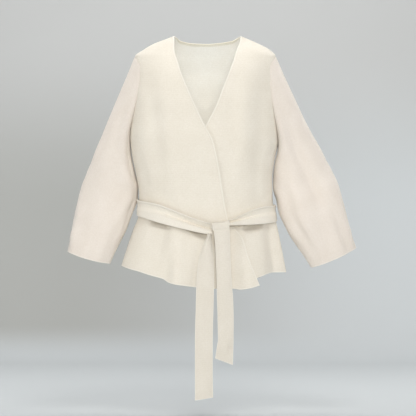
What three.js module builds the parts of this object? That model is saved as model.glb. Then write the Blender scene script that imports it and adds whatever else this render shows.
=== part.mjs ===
// Knit wrap blazer, filled out as when worn: a V-necked wrap front with the wearer's right side
// over the left, set-in sleeves that widen at the elbow, a fluted peplum below the waist seam, and a
// cloth belt tied in front. Millimetres, +Z up, -Y the front, +X the wearer's left.
// The origin is midway between the two neck points, where the wearer's shoulders carry it.
// A drop is a distance below the neck points, so z = -drop. Every surface is the outer one, and
// its wall goes inwards.
import * as THREE from "three";

// Driving dimensions.
const knit = 2.2; // thickness of the double knit
const beltCloth = 2.8; // thickness of the belt, knitted as a flat tube
const seamGap = 0.3; // between pieces that are sewn together
const waistGap = 0.7; // below the waist seam, where the flutes start
const lap = knit + 1.4; // how far the over front stands out from the under front
const squareness = 0.25; // how much fuller than an ellipse the body's section is
const waistDrop = { left: 480, right: 492, front: 513, back: 484 };
const bandHeight = 7; // the back neck band
const bandStandOff = 0.15; // how much thicker it is than the back on each face
const bandGap = { middle: 0.5, end: 4.3 }; // below the band; wider where the steep ends turn
const setIn = knit + 1.8; // how far the sleeve's start lies inside the armhole's edge
const sleeveStart = { inside: 2, outside: 2.5 }; // reach of the sleeve's start past the armhole
const cuffBow = 4; // the cuff's edge dips this much in the middle

const colours = { knit: 0xf1ecdd, belt: 0xefe9db, band: 0xede4cd };

// The body's sections: half outlines to each side and depths to the front and back.
const torso = [
  { drop: 0, left: 91, right: 92, front: 16, back: 20 },
  { drop: 8, left: 112, right: 111, front: 27, back: 31 },
  { drop: 20, left: 144, right: 138, front: 39, back: 42 },
  { drop: 38, left: 176, right: 172, front: 53, back: 54 },
  { drop: 56, left: 199, right: 188, front: 64, back: 64 },
  { drop: 110, left: 203, right: 190, front: 87, back: 84 },
  { drop: 190, left: 209, right: 192.5, front: 103, back: 94 },
  { drop: 274, left: 214, right: 195, front: 107, back: 92 },
  { drop: 290, left: 212.8, right: 195.5, front: 106, back: 91 },
  { drop: 335, left: 206, right: 186.5, front: 101, back: 87 },
  { drop: 390, left: 194.2, right: 179, front: 93, back: 81 },
  { drop: 440, left: 187.5, right: 179.5, front: 87, back: 76 },
  { drop: 490, left: 188, right: 184, front: 84, back: 74 },
  { drop: 520, left: 188, right: 185, front: 84, back: 74 },
];
const shoulder = torso.slice(0, 5); // the rows whose outline is the shoulder seam

// Armholes: the shoulder tip and underarm of each side, and how far the edge curves in between.
const armhole = {
  left: { tip: 56, underarm: 274 },
  right: { tip: 56, underarm: 290 },
};
const armholeCurve = [
  { share: 0, inset: 0 },
  { share: 0.05, inset: 9 },
  { share: 0.15, inset: 18 },
  { share: 0.3, inset: 18.5 },
  { share: 0.5, inset: 16.5 },
  { share: 0.68, inset: 11.5 },
  { share: 0.85, inset: 5 },
  { share: 1, inset: 0 },
];

// Edges of the fronts, from the neck point down the V and on to the waist. The under front's is
// hidden below the crossing and runs like the other.
const overEdge = [
  { drop: 0, x: -91 },
  { drop: 14, x: -90.5 },
  { drop: 40, x: -90 },
  { drop: 72, x: -81 },
  { drop: 106, x: -70 },
  { drop: 179, x: -39 },
  { drop: 249, x: -5 },
  { drop: 287, x: 15.5 },
  { drop: 316, x: 23 },
  { drop: 360, x: 32 },
  { drop: 416, x: 41 },
  { drop: 460, x: 48 },
  { drop: 520, x: 60 },
];
const underEdge = [
  { drop: 0, x: 92 },
  { drop: 14, x: 90 },
  { drop: 38, x: 81 },
  { drop: 69, x: 71.5 },
  { drop: 133, x: 47 },
  { drop: 194, x: 23 },
  { drop: 249, x: -5 },
  { drop: 290, x: -22 },
  { drop: 416, x: -46 },
  { drop: 520, x: -62 },
];
const neckline = [
  { x: -91, drop: 0 },
  { x: -84, drop: 4.5 },
  { x: -75, drop: 11.5 },
  { x: -61, drop: 15.6 },
  { x: -38, drop: 19 },
  { x: 0, drop: 20.2 },
  { x: 30, drop: 17.8 },
  { x: 53, drop: 13.8 },
  { x: 71.5, drop: 8 },
  { x: 80, drop: 4 },
  { x: 92, drop: 0 },
];

// Soft vertical troughs of the body, each from (x, top) to (foot, bottom).
const bodyCreases = [
  { face: "front", x: 132, top: 30, foot: 142, bottom: 480, width: 20, depth: 6.5 },
  { face: "front", x: -170, top: 150, foot: -128, bottom: 500, width: 20, depth: 4.5 },
  { face: "front", x: -176, top: 45, foot: -172, bottom: 150, width: 8, depth: 4 },
  { face: "front", x: -62, top: 250, foot: -75, bottom: 500, width: 26, depth: 3 },
  { face: "front", x: 78, top: 180, foot: 92, bottom: 470, width: 22, depth: 3 },
  { face: "back", x: -140, top: 60, foot: -132, bottom: 440, width: 20, depth: 6 },
  { face: "back", x: 136, top: 90, foot: 128, bottom: 470, width: 21, depth: 5.5 },
  { face: "back", x: -48, top: 240, foot: -62, bottom: 500, width: 28, depth: 3.5 },
  { face: "back", x: 40, top: 200, foot: 56, bottom: 490, width: 26, depth: 3.5 },
];

// The peplum's sections by the share of its height, and its flutes by the angle round the body
// (0 at the wearer's left side, 90 in front, 180 at the right side): ridges lift, hollows sink.
const peplum = [
  { share: 0, left: 188, right: 185, front: 84, back: 74 },
  { share: 0.12, left: 190.5, right: 187.5, front: 87, back: 77 },
  { share: 0.35, left: 203.5, right: 194.2, front: 98, back: 87 },
  { share: 0.66, left: 219.5, right: 203.5, front: 109, back: 98 },
  { share: 1, left: 236.5, right: 213.7, front: 119, back: 107 },
];
const flutes = [
  { waist: 0, hem: 0, lift: 0 },
  { waist: 12, hem: 14, lift: -3 },
  { waist: 26, hem: 29, lift: 9 },
  { waist: 47.6, hem: 44, lift: -13 },
  { waist: 65, hem: 61, lift: 10 },
  { waist: 76, hem: 74, lift: -7 },
  { waist: 88, hem: 85, lift: 5 },
  { waist: 102, hem: 99, lift: -10 },
  { waist: 118.9, hem: 115.5, lift: 11 },
  { waist: 133, hem: 124, lift: -8 },
  { waist: 152, hem: 147, lift: 6 },
  { waist: 168, hem: 163, lift: -4 },
  { waist: 180, hem: 180, lift: 0 },
  { waist: 191, hem: 193, lift: 4 },
  { waist: 207, hem: 210, lift: -11 },
  { waist: 223, hem: 226, lift: 10 },
  { waist: 238, hem: 240, lift: -11 },
  { waist: 254, hem: 254, lift: 9 },
  { waist: 268, hem: 267, lift: -12 },
  { waist: 284, hem: 283, lift: 10 },
  { waist: 300, hem: 298, lift: -11 },
  { waist: 316, hem: 313, lift: 9 },
  { waist: 334, hem: 331, lift: -10 },
  { waist: 349, hem: 347, lift: 4 },
];
const hem = [
  { angle: 0, drop: 648 },
  { angle: 14, drop: 650.5 },
  { angle: 27.6, drop: 658 },
  { angle: 38.6, drop: 668.5 },
  { angle: 48, drop: 681 },
  { angle: 58, drop: 689.7 },
  { angle: 64, drop: 692.6 },
  { angle: 69, drop: 690 },
  { angle: 82, drop: 690 },
  { angle: 95, drop: 686 },
  { angle: 105, drop: 680.6 },
  { angle: 112, drop: 675 },
  { angle: 119, drop: 664.3 },
  { angle: 132, drop: 653.4 },
  { angle: 147, drop: 642.4 },
  { angle: 180, drop: 632 },
  { angle: 225, drop: 646 },
  { angle: 270, drop: 656 },
  { angle: 315, drop: 654 },
];
const underShortening = { edge: 0.115, middle: 0.03 }; // shares by which the under front is shorter
const peplumLap = 5.5; // how much further the peplum's over front stands off below the waist
const peplumOverEdge = [
  { share: 0, x: 59.5 },
  { share: 0.12, x: 78 },
  { share: 0.25, x: 93 },
  { share: 0.5, x: 106 },
  { share: 0.8, x: 125 },
  { share: 1, x: 138 },
];
const peplumUnderEdge = [
  { share: 0, x: -61 },
  { share: 0.3, x: -88 },
  { share: 1, x: -128 },
];

// Sleeves: the outer and inner edge of each section, half its depth, how far its middle lies back,
// and how much of the armhole's own shape is left in it.
const sleeves = {
  left: [
    { ring: 0, outX: 201.3, outDrop: 58, inX: 216.7, inDrop: 271.4, depth: 50, back: 0, armhole: 1 },
    { ring: 1, outX: 220.8, outDrop: 107, inX: 214.9, inDrop: 283, depth: 49, back: 2, armhole: 0.75 },
    { ring: 2, outX: 245.6, outDrop: 165, inX: 213.3, inDrop: 302, depth: 48, back: 5, armhole: 0.45 },
    { ring: 3, outX: 271, outDrop: 225, inX: 209.9, inDrop: 327, depth: 47, back: 8, armhole: 0.2 },
    { ring: 4, outX: 295.4, outDrop: 286, inX: 204, inDrop: 355, depth: 47, back: 12, armhole: 0.06 },
    { ring: 5, outX: 317.6, outDrop: 341, inX: 196, inDrop: 385, depth: 47, back: 16, armhole: 0 },
    { ring: 6, outX: 334.7, outDrop: 384, inX: 190, inDrop: 415, depth: 48, back: 20, armhole: 0 },
    { ring: 7, outX: 349, outDrop: 423, inX: 190, inDrop: 445, depth: 48, back: 22, armhole: 0 },
    { ring: 8, outX: 362.5, outDrop: 476, inX: 203, inDrop: 480, depth: 46, back: 16, armhole: 0 },
    { ring: 9, outX: 371, outDrop: 520, inX: 219, inDrop: 525, depth: 43, back: 8, armhole: 0 },
    { ring: 10, outX: 377.6, outDrop: 555, inX: 241, inDrop: 571, depth: 40, back: 0, armhole: 0 },
    { ring: 11, outX: 383, outDrop: 594, inX: 266, inDrop: 626, depth: 36, back: -6, armhole: 0 },
  ],
  right: [
    { ring: 0, outX: 190.3, outDrop: 58.5, inX: 198, inDrop: 287.5, depth: 50, back: 0, armhole: 1 },
    { ring: 1, outX: 212.3, outDrop: 110, inX: 196.6, inDrop: 302, depth: 49, back: 1, armhole: 0.75 },
    { ring: 2, outX: 238.4, outDrop: 166, inX: 193.4, inDrop: 319, depth: 48, back: 3, armhole: 0.45 },
    { ring: 3, outX: 267.3, outDrop: 228, inX: 188, inDrop: 340, depth: 48, back: 6, armhole: 0.2 },
    { ring: 4, outX: 296.2, outDrop: 283, inX: 183.6, inDrop: 363, depth: 49, back: 9, armhole: 0.06 },
    { ring: 5, outX: 323.7, outDrop: 334, inX: 180.4, inDrop: 390, depth: 50, back: 10, armhole: 0 },
    { ring: 6, outX: 345, outDrop: 376, inX: 181.5, inDrop: 421, depth: 50, back: 8, armhole: 0 },
    { ring: 7, outX: 360.5, outDrop: 412, inX: 189, inDrop: 452, depth: 50, back: 2, armhole: 0 },
    { ring: 8, outX: 374.3, outDrop: 459, inX: 198, inDrop: 489, depth: 48, back: -6, armhole: 0 },
    { ring: 9, outX: 386, outDrop: 506, inX: 217, inDrop: 532, depth: 45, back: -12, armhole: 0 },
    { ring: 10, outX: 396.3, outDrop: 544, inX: 247, inDrop: 580, depth: 41, back: -16, armhole: 0 },
    { ring: 11, outX: 407.8, outDrop: 584, inX: 284.6, inDrop: 637, depth: 37, back: -18, armhole: 0 },
  ],
};
// Long soft folds of the sleeves, by the angle round the section (0 outer edge, 90 front, 180 inner).
const sleeveFolds = {
  left: [
    { angle: 50, foot: 78, from: 4, to: 11, width: 20, depth: 5 },
    { angle: 104, foot: 98, from: 3.5, to: 8.5, width: 16, depth: 3.5 },
    { angle: 236, foot: 250, from: 3.5, to: 10.5, width: 22, depth: 5 },
    { angle: 296, foot: 284, from: 4.5, to: 11, width: 18, depth: 4 },
  ],
  right: [
    { angle: 80, foot: 74, from: 2.5, to: 11, width: 17, depth: 6 },
    { angle: 36, foot: 40, from: 6.5, to: 10.5, width: 13, depth: 4 },
    { angle: 130, foot: 124, from: 5, to: 9.5, width: 14, depth: 3 },
    { angle: 242, foot: 252, from: 3, to: 10.5, width: 22, depth: 5 },
    { angle: 300, foot: 290, from: 5, to: 11, width: 17, depth: 4 },
  ],
};

// The belt round the waist by the angle round the body: its two edges and how far each stands off.
const beltPath = [
  { angle: 74, top: 508, bottom: 518, offTop: 8, offBottom: 15 },
  { angle: 66, top: 498.5, bottom: 518, offTop: 6, offBottom: 14 },
  { angle: 57, top: 486, bottom: 517, offTop: 4, offBottom: 13 },
  { angle: 45, top: 473.5, bottom: 516, offTop: 2.5, offBottom: 11 },
  { angle: 31, top: 467, bottom: 513.5, offTop: 1.5, offBottom: 8.5 },
  { angle: 0, top: 465, bottom: 508.5, offTop: 0.8, offBottom: 5 },
  { angle: -45, top: 458, bottom: 504, offTop: 0.8, offBottom: 7 },
  { angle: -90, top: 452, bottom: 499, offTop: 0.8, offBottom: 7 },
  { angle: -135, top: 448, bottom: 494, offTop: 0.8, offBottom: 6.5 },
  { angle: -180, top: 448.5, bottom: 492, offTop: 0.8, offBottom: 4.5 },
  { angle: -207, top: 454, bottom: 498, offTop: 1.2, offBottom: 8 },
  { angle: -225, top: 460, bottom: 509, offTop: 1.5, offBottom: 10 },
  { angle: -238, top: 472, bottom: 518, offTop: 2, offBottom: 13 },
  { angle: -249, top: 485.5, bottom: 526.5, offTop: 3, offBottom: 15 },
  { angle: -260, top: 499.5, bottom: 535, offTop: 5, offBottom: 17 },
  { angle: -267, top: 507, bottom: 539.5, offTop: 7, offBottom: 19 },
  { angle: -274.5, top: 514.5, bottom: 543, offTop: 9.5, offBottom: 20 },
];
const beltHollow = 2.5; // how far the belt's middle sinks between its edges in front

// The belt's two hanging ends: middle line, half width, how far the strip bows across, and how much
// higher its outer edge lies.
const overTail = [
  { at: 0, x: 36, y: -101, drop: 520, half: 23, bow: 0, tilt: 3 },
  { at: 1, x: 36, y: -104.5, drop: 512.5, half: 23.4, bow: 0, tilt: 3 },
  { at: 2, x: 36, y: -109.5, drop: 508.5, half: 23.8, bow: 0, tilt: 3 },
  { at: 3, x: 36.2, y: -116, drop: 509.5, half: 23.8, bow: 0, tilt: 3 },
  { at: 4, x: 36.8, y: -121, drop: 515, half: 23.4, bow: 1, tilt: 2.6 },
  { at: 5, x: 38, y: -123, drop: 525.5, half: 22, bow: 2, tilt: 2 },
  { at: 6, x: 40.2, y: -124.5, drop: 546, half: 20.8, bow: 3, tilt: 1 },
  { at: 7, x: 42.2, y: -129, drop: 588, half: 19.8, bow: 4, tilt: 0 },
  { at: 8, x: 44, y: -135.5, drop: 630, half: 19.8, bow: 4, tilt: 0 },
  { at: 9, x: 46, y: -142, drop: 675, half: 20.4, bow: 4, tilt: 0 },
  { at: 10, x: 48.2, y: -143.5, drop: 720, half: 22, bow: 3, tilt: 0 },
  { at: 11, x: 49.6, y: -142, drop: 770, half: 22, bow: 3, tilt: 0 },
  { at: 12, x: 50, y: -140, drop: 825, half: 21.2, bow: 4, tilt: 0 },
  { at: 13, x: 48, y: -138, drop: 853, half: 22.4, bow: 4, tilt: 0 },
  { at: 14, x: 45.4, y: -135, drop: 887, half: 24, bow: 2, tilt: 0 },
];
const overTailSlant = 9; // how much lower the over tail's outer corner ends
const underTail = [
  { at: 0, x: 6, y: -104.5, drop: 545, half: 5.2, bow: 11, tilt: 0 },
  { at: 1, x: 5, y: -106.5, drop: 552, half: 6.4, bow: 11, tilt: 0 },
  { at: 2, x: 2.8, y: -109.5, drop: 560, half: 9.6, bow: 10, tilt: 0 },
  { at: 3, x: 0, y: -115.5, drop: 580, half: 14.4, bow: 8.5, tilt: 0 },
  { at: 4, x: -3.2, y: -123, drop: 612, half: 20, bow: 6.5, tilt: 0 },
  { at: 5, x: -5, y: -131, drop: 650, half: 23.2, bow: 4.5, tilt: 0 },
  { at: 6, x: -6, y: -137.5, drop: 685, half: 24, bow: 3, tilt: 0 },
  { at: 7, x: -7, y: -140.5, drop: 730, half: 24.2, bow: 2, tilt: 0 },
  { at: 8, x: -8.6, y: -141, drop: 790, half: 24.2, bow: 2, tilt: 0 },
  { at: 9, x: -9.4, y: -140, drop: 850, half: 24.2, bow: 2.5, tilt: 0 },
  { at: 10, x: -9.4, y: -139, drop: 910, half: 24.2, bow: 3, tilt: 0 },
  { at: 11, x: -9, y: -138, drop: 960, half: 24.4, bow: 3, tilt: 0 },
  { at: 12, x: -8.6, y: -137, drop: 988, half: 24.8, bow: 3, tilt: 0 },
];
const underTailSlant = -4;

// The bundle inside the knot, where the belt's two sides cross.
const knot = { x: 35, drop: 523, halfLength: 24, y: -112, depth: 7, height: 10, waist: 0.2, tilt: 3 };

const { clamp, degToRad, lerp, smoothstep } = THREE.MathUtils;

// One column of a table where its column `by` has the value `at`: a cubic through the rows that
// never overshoots them.
function along(table, by, at, column) {
  const last = table.length - 1;
  const sign = Math.sign(table[last][by] - table[0][by]);
  let i = 0;
  while (i < last - 1 && sign * (table[i + 1][by] - at) < 0) i += 1;
  const run = (j) => table[j + 1][by] - table[j][by];
  const rise = (j) => (table[j + 1][column] - table[j][column]) / run(j);
  const slope = (j) => {
    if (j === 0) return rise(0);
    if (j === last) return rise(last - 1);
    const [before, after] = [rise(j - 1), rise(j)];
    return before * after <= 0 ? 0 : (2 * before * after) / (before + after);
  };
  const t = clamp((at - table[i][by]) / run(i), 0, 1);
  const [from, to] = [table[i][column], table[i + 1][column]];
  const bend = t * (1 - t) * run(i);
  return from + (to - from) * t * t * (3 - 2 * t) + bend * ((1 - t) * slope(i) - t * slope(i + 1));
}

// A table that closes on itself after 360 degrees, with a turn added before and after it.
function rounded(table, angles) {
  const turned = (row, by) => {
    const copy = { ...row };
    for (const angle of angles) copy[angle] += by;
    return copy;
  };
  return [-360, 0, 360].flatMap((by) => table.map((row) => turned(row, by)));
}
const fluteRound = rounded(flutes, ["waist", "hem"]);
const hemRound = rounded(hem, ["angle"]);

// The body's section at a drop: the middle of its outline, its half width and depths.
function section(drop) {
  const [left, right] = [along(torso, "drop", drop, "left"), along(torso, "drop", drop, "right")];
  const [front, back] = [along(torso, "drop", drop, "front"), along(torso, "drop", drop, "back")];
  return { middle: (right - left) / 2, half: (right + left) / 2, front, back };
}

// A bell of height 1 at 0, and about nothing two widths away.
const bell = (distance, width) => Math.exp(-((distance / width) ** 2));

// How far a crease has come in at a place along it: nothing at its ends, all of it between.
function creaseReach(at, top, bottom) {
  const fade = (bottom - top) / 4;
  return smoothstep(at, top, top + fade) * (1 - smoothstep(at, bottom - fade, bottom));
}

// The depth of all creases of one face of the body at a point.
function creaseDepth(face, x, drop) {
  let sum = 0;
  for (const crease of bodyCreases) {
    if (crease.face !== face) continue;
    const middle = lerp(crease.x, crease.foot, (drop - crease.top) / (crease.bottom - crease.top));
    const reach = creaseReach(drop, crease.top, crease.bottom);
    sum += crease.depth * reach * bell(x - middle, crease.width);
  }
  return sum;
}

// How far the body's front or back stands from the plane of the side seams.
function bodyDepth(face, x, drop) {
  const s = section(drop);
  const t = clamp((x - s.middle) / s.half, -1, 1);
  const round = Math.sqrt(1 - t * t);
  const full = s[face] * round * (1 + squareness * t * t);
  return full - creaseDepth(face, x, drop) * smoothstep(round, 0.1, 0.5);
}

const sideSign = { left: -1, right: 1 };

// The outline of the body at a drop, to one side.
const outline = (side, drop) => sideSign[side] * along(torso, "drop", drop, side);

// A point of the armhole's edge in the front view, by its share from the shoulder tip down.
function armholePoint(side, share) {
  const { tip, underarm } = armhole[side];
  const drop = lerp(tip, underarm, share);
  const inset = along(armholeCurve, "share", share, "inset");
  return { x: outline(side, drop) - sideSign[side] * inset, drop };
}

// The seam that joins the body's front or back to the peplum, as a drop at x.
function waistSeam(face, x) {
  const side = x < 0 ? "left" : "right";
  const t = clamp(Math.abs(x) / along(torso, "drop", waistDrop[side], side), 0, 1);
  return lerp(waistDrop[face], waistDrop[side], t * t);
}

// The side border of a body panel: side seam up to the underarm, then the armhole's edge.
function sideBorder(side, sideRows, armRows) {
  const points = [];
  const { underarm } = armhole[side];
  for (let j = 0; j < sideRows; j += 1) {
    const drop = lerp(waistDrop[side], underarm, j / sideRows);
    points.push({ x: outline(side, drop), drop });
  }
  for (let j = 0; j <= armRows; j += 1) {
    const share = (1 + Math.cos((Math.PI * j) / armRows)) / 2;
    points.push(armholePoint(side, share));
  }
  return points;
}

// A point of the shoulder seam near x.
function shoulderPoint(side, x) {
  const drop = along(shoulder, side, Math.abs(x), "drop");
  return { x: outline(side, drop), drop };
}

// A Coons patch of front-view points inside four borders that are lists of points. The two weight
// lists say how far each column and row lies across.
function patch({ left, right, bottom, top, across, up }) {
  const [last, end] = [bottom.length - 1, left.length - 1];
  return across.map((u, i) =>
    up.map((v, j) => {
      const at = (key) => {
        const sides = lerp(left[j][key], right[j][key], u);
        const ends = lerp(bottom[i][key], top[i][key], v);
        const low = lerp(bottom[0][key], bottom[last][key], u);
        const high = lerp(left[end][key], right[end][key], u);
        return sides + ends - lerp(low, high, v);
      };
      return { x: at("x"), drop: at("drop") };
    }),
  );
}

// A closed wall of the given thickness under a grid of outer points. outward(i, j) points roughly
// out of the cloth, level(i, j) says where the normal has to stay in the plane of the side seams,
// and wraps says that the grid closes on itself.
function wall(grid, { thickness, outward, level = () => false, wraps = false }) {
  const [columns, rows] = [grid.length, grid[0].length];
  const step = (i, by) => (wraps ? (i + by + columns) % columns : clamp(i + by, 0, columns - 1));
  const normals = grid.map((column, i) =>
    column.map((_, j) => {
      const du = grid[step(i, 1)][j].clone().sub(grid[step(i, -1)][j]);
      const up = Math.min(j + 1, rows - 1);
      const down = Math.max(j - 1, 0);
      const dv = grid[i][up].clone().sub(grid[i][down]);
      return du.cross(dv);
    }),
  );
  let facing = 0;
  grid.forEach((column, i) => {
    column.forEach((_, j) => {
      facing += normals[i][j].dot(outward(i, j));
    });
  });
  const turn = Math.sign(facing);
  const positions = [];
  for (const depth of [0, thickness]) {
    grid.forEach((column, i) => {
      column.forEach((point, j) => {
        const normal = normals[i][j].clone().multiplyScalar(turn);
        if (level(i, j)) normal.y = 0;
        positions.push(...point.clone().addScaledVector(normal.normalize(), -depth));
      });
    });
  }
  const index = [];
  const vertex = (i, j, layer) => layer * columns * rows + (i % columns) * rows + j;
  const face = (a, b, c, d) => {
    if (turn > 0) index.push(a, b, c, a, c, d);
    else index.push(a, c, b, a, d, c);
  };
  const lastColumn = wraps ? columns : columns - 1;
  for (let i = 0; i < lastColumn; i += 1) {
    for (let j = 0; j < rows - 1; j += 1) {
      face(vertex(i, j, 0), vertex(i + 1, j, 0), vertex(i + 1, j + 1, 0), vertex(i, j + 1, 0));
      face(vertex(i, j, 1), vertex(i, j + 1, 1), vertex(i + 1, j + 1, 1), vertex(i + 1, j, 1));
    }
    const top = rows - 1;
    face(vertex(i, 0, 0), vertex(i, 0, 1), vertex(i + 1, 0, 1), vertex(i + 1, 0, 0));
    face(vertex(i, top, 0), vertex(i + 1, top, 0), vertex(i + 1, top, 1), vertex(i, top, 1));
  }
  if (!wraps) {
    const end = columns - 1;
    for (let j = 0; j < rows - 1; j += 1) {
      face(vertex(0, j, 0), vertex(0, j + 1, 0), vertex(0, j + 1, 1), vertex(0, j, 1));
      face(vertex(end, j, 0), vertex(end, j, 1), vertex(end, j + 1, 1), vertex(end, j + 1, 0));
    }
  }
  const geometry = new THREE.BufferGeometry();
  geometry.setAttribute("position", new THREE.Float32BufferAttribute(positions, 3));
  geometry.setIndex(index);
  return geometry;
}

const garment = new THREE.Group();

// Adds one named piece of cloth to the garment.
function addPiece(name, geometry, colour) {
  const material = new THREE.MeshStandardMaterial({ color: colour, roughness: 0.9, metalness: 0 });
  geometry.computeVertexNormals();
  const mesh = new THREE.Mesh(geometry, material);
  mesh.name = name;
  garment.add(mesh);
}

const evenly = (count) => Array.from({ length: count + 1 }, (_, i) => i / count);
const bodyOut = (point) => new THREE.Vector3(point.x, 2 * point.y, 0);

// How far each row of a side border lies up it.
function rowWeights(border) {
  const [low, high] = [border[0].drop, border[border.length - 1].drop];
  return border.map((point) => (low - point.drop) / (low - high));
}

// The extra depth of the over front where it laps the other: nothing at the side and shoulder.
function lapLift(x, drop) {
  return lap * smoothstep(x, -150, -75) * smoothstep(drop, 50, 150);
}

// Turns a patch of front-view points into points on the body's front or back.
function onBody(points, face, lift = () => 0) {
  const sign = face === "front" ? -1 : 1;
  return points.map((column) =>
    column.map(({ x, drop }) => {
      const depth = bodyDepth(face, x, drop) + lift(x, drop) + seamGap / 2;
      return new THREE.Vector3(x, sign * depth, -drop);
    }),
  );
}

// The back panel's columns lie closer together at its sides. Those in the middle meet the neck edge.
const backColumns = 24;
const shoulderColumns = 6;
const backAcross = evenly(backColumns).map((u) => (1 - Math.cos(Math.PI * u)) / 2);

// Where a column of the back panel meets the neck edge.
function neckX(column) {
  const start = backAcross[shoulderColumns];
  const share = (backAcross[column] - start) / (1 - 2 * start);
  return lerp(outline("left", 0), outline("right", 0), share);
}

// The lower edge of the back neck band.
const bandEdge = (x) => along(neckline, "x", x, "drop") + bandHeight;

// The back: one panel from the waist seam to the shoulder seams and the neck band.
function makeBack() {
  const [sideRows, armRows] = [6, 11];
  const left = sideBorder("left", sideRows, armRows);
  const right = sideBorder("right", sideRows, armRows);
  const top = backAcross.map((u, i) => {
    const side = i < backColumns / 2 ? "left" : "right";
    const fromTip = Math.min(i, backColumns - i);
    if (fromTip > shoulderColumns) {
      const x = neckX(i);
      const gap = fromTip === shoulderColumns + 1 ? bandGap.end : bandGap.middle;
      return { x, drop: bandEdge(x) + gap };
    }
    const share = Math.min(u, 1 - u) / backAcross[shoulderColumns];
    return shoulderPoint(side, lerp(armholePoint(side, 0).x, outline(side, 0), share));
  });
  const bottom = backAcross.map((u) => {
    const x = lerp(left[0].x, right[0].x, u);
    return { x, drop: waistSeam("back", x) };
  });
  const points = patch({ left, right, bottom, top, across: backAcross, up: rowWeights(left) });
  const grid = onBody(points, "back");
  const onSeam = (i, j) => {
    const fromSide = Math.min(i, backColumns - i);
    return (fromSide === 0 && j <= sideRows) || (j === left.length - 1 && fromSide <= shoulderColumns);
  };
  const outward = (i, j) => bodyOut(grid[i][j]);
  return wall(grid, { thickness: knit, outward, level: onSeam });
}

// The band along the back neck edge, with the back panel's own columns.
function makeNeckBand() {
  const columns = backAcross.map((_, i) => i);
  const points = columns.slice(shoulderColumns + 1, -shoulderColumns - 1).map((i) => {
    const x = neckX(i);
    return evenly(2).map((v) => ({ x, drop: lerp(bandEdge(x), along(neckline, "x", x, "drop"), v) }));
  });
  const grid = onBody(points, "back", () => bandStandOff);
  const outward = (i, j) => bodyOut(grid[i][j]);
  return wall(grid, { thickness: knit + 2 * bandStandOff, outward });
}

// A front, from the side seam to its edge. The over front lies on the under one.
function makeFront({ side, edge, lift }) {
  const [columns, sideRows, armRows] = [15, 6, 11];
  const across = evenly(columns).map((u) => 1 - Math.cos((Math.PI / 2) * u));
  const left = sideBorder(side, sideRows, armRows);
  const up = rowWeights(left);
  const edgeFoot = waistSeam("front", along(edge, "drop", waistDrop.front, "x"));
  const right = up.map((v) => {
    const drop = lerp(edgeFoot, 0, v);
    return { x: along(edge, "drop", drop, "x"), drop };
  });
  const bottom = across.map((u) => {
    const x = lerp(left[0].x, right[0].x, u);
    return { x, drop: waistSeam("front", x) };
  });
  const [tip, neck] = [left[left.length - 1].x, outline(side, 0)];
  const top = across.map((u) => shoulderPoint(side, lerp(tip, neck, u)));
  const grid = onBody(patch({ left, right, bottom, top, across, up }), "front", lift);
  const onSeam = (i, j) => (i === 0 && j <= sideRows) || j === left.length - 1;
  const outward = (i, j) => bodyOut(grid[i][j]);
  return wall(grid, { thickness: knit, outward, level: onSeam });
}

// A point of the peplum by its angle round the body and its share from the waist seam to the hem.
function peplumPoint(degrees, share, face, lift) {
  const angle = degToRad(degrees);
  const size = (column) => along(peplum, "share", share, column);
  const [left, right] = [size("left"), size("right")];
  const [middle, half] = [(right - left) / 2, (right + left) / 2];
  const depth = size(face);
  const [cos, sin] = [Math.cos(angle), Math.sin(angle)];
  const out = new THREE.Vector2(cos / half, sin / depth).normalize();
  const fromWaist = along(fluteRound, "waist", degrees, "lift");
  const fromHem = along(fluteRound, "hem", degrees, "lift");
  const wave = lerp(fromWaist, fromHem, share) * (1 - Math.exp(-share / 0.1)) * share ** 0.15;
  const x = middle + half * cos + (wave + lift) * out.x;
  const reach = depth * sin * (1 + squareness * cos * cos);
  const y = -reach - (wave + lift) * out.y;
  const start = waistSeam(face, middle + half * cos) + waistGap;
  const end = along(hemRound, "angle", degrees, "drop");
  const sewn = face === "front" ? -seamGap / 2 : seamGap / 2;
  return new THREE.Vector3(x, y + sewn, -lerp(start, end, share));
}

// The angle where the peplum's outline at a share of its height has a given x in front.
function peplumAngle(x, share) {
  const [left, right] = [along(peplum, "share", share, "left"), along(peplum, "share", share, "right")];
  return (Math.acos((2 * x - right + left) / (right + left)) * 180) / Math.PI;
}

// A panel of the peplum between two angles, which may change from the waist to the hem. It may
// stand off the section, and end at a share of the height.
function makePeplum({ face, columns, from, to, seams, lift = () => 0, length = () => 1 }) {
  const grid = evenly(columns).map((u) =>
    evenly(6).map((row) => {
      const v = row ** 1.35;
      const degrees = lerp(from(v), to(v), u);
      const share = v * length(degrees);
      return peplumPoint(degrees, share, face, lift(degrees, share));
    }),
  );
  const outward = (i, j) => bodyOut(grid[i][j]);
  const level = (i) => (i === 0 && seams.includes("from")) || (i === columns && seams.includes("to"));
  return wall(grid, { thickness: knit, outward, level });
}

// A point of the armhole's loop on the body, by the angle round the sleeve (0 at the shoulder tip,
// 90 in front, 180 at the underarm), drawn in so that the sleeve clears the armhole's edge.
function loopPoint(side, degrees, reach) {
  const angle = degToRad(degrees);
  const { x, drop } = armholePoint(side, (1 - Math.cos(angle)) / 2);
  const front = Math.sin(angle) >= 0;
  const depth = bodyDepth(front ? "front" : "back", x, drop);
  const flat = new THREE.Vector2(front ? -depth : depth, -drop);
  const { tip, underarm } = armhole[side];
  const inward = new THREE.Vector2(0, -(tip + underarm) / 2).sub(flat).normalize();
  flat.addScaledVector(inward, setIn);
  return { out: Math.abs(x) + reach, y: flat.x, z: flat.y };
}

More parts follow.
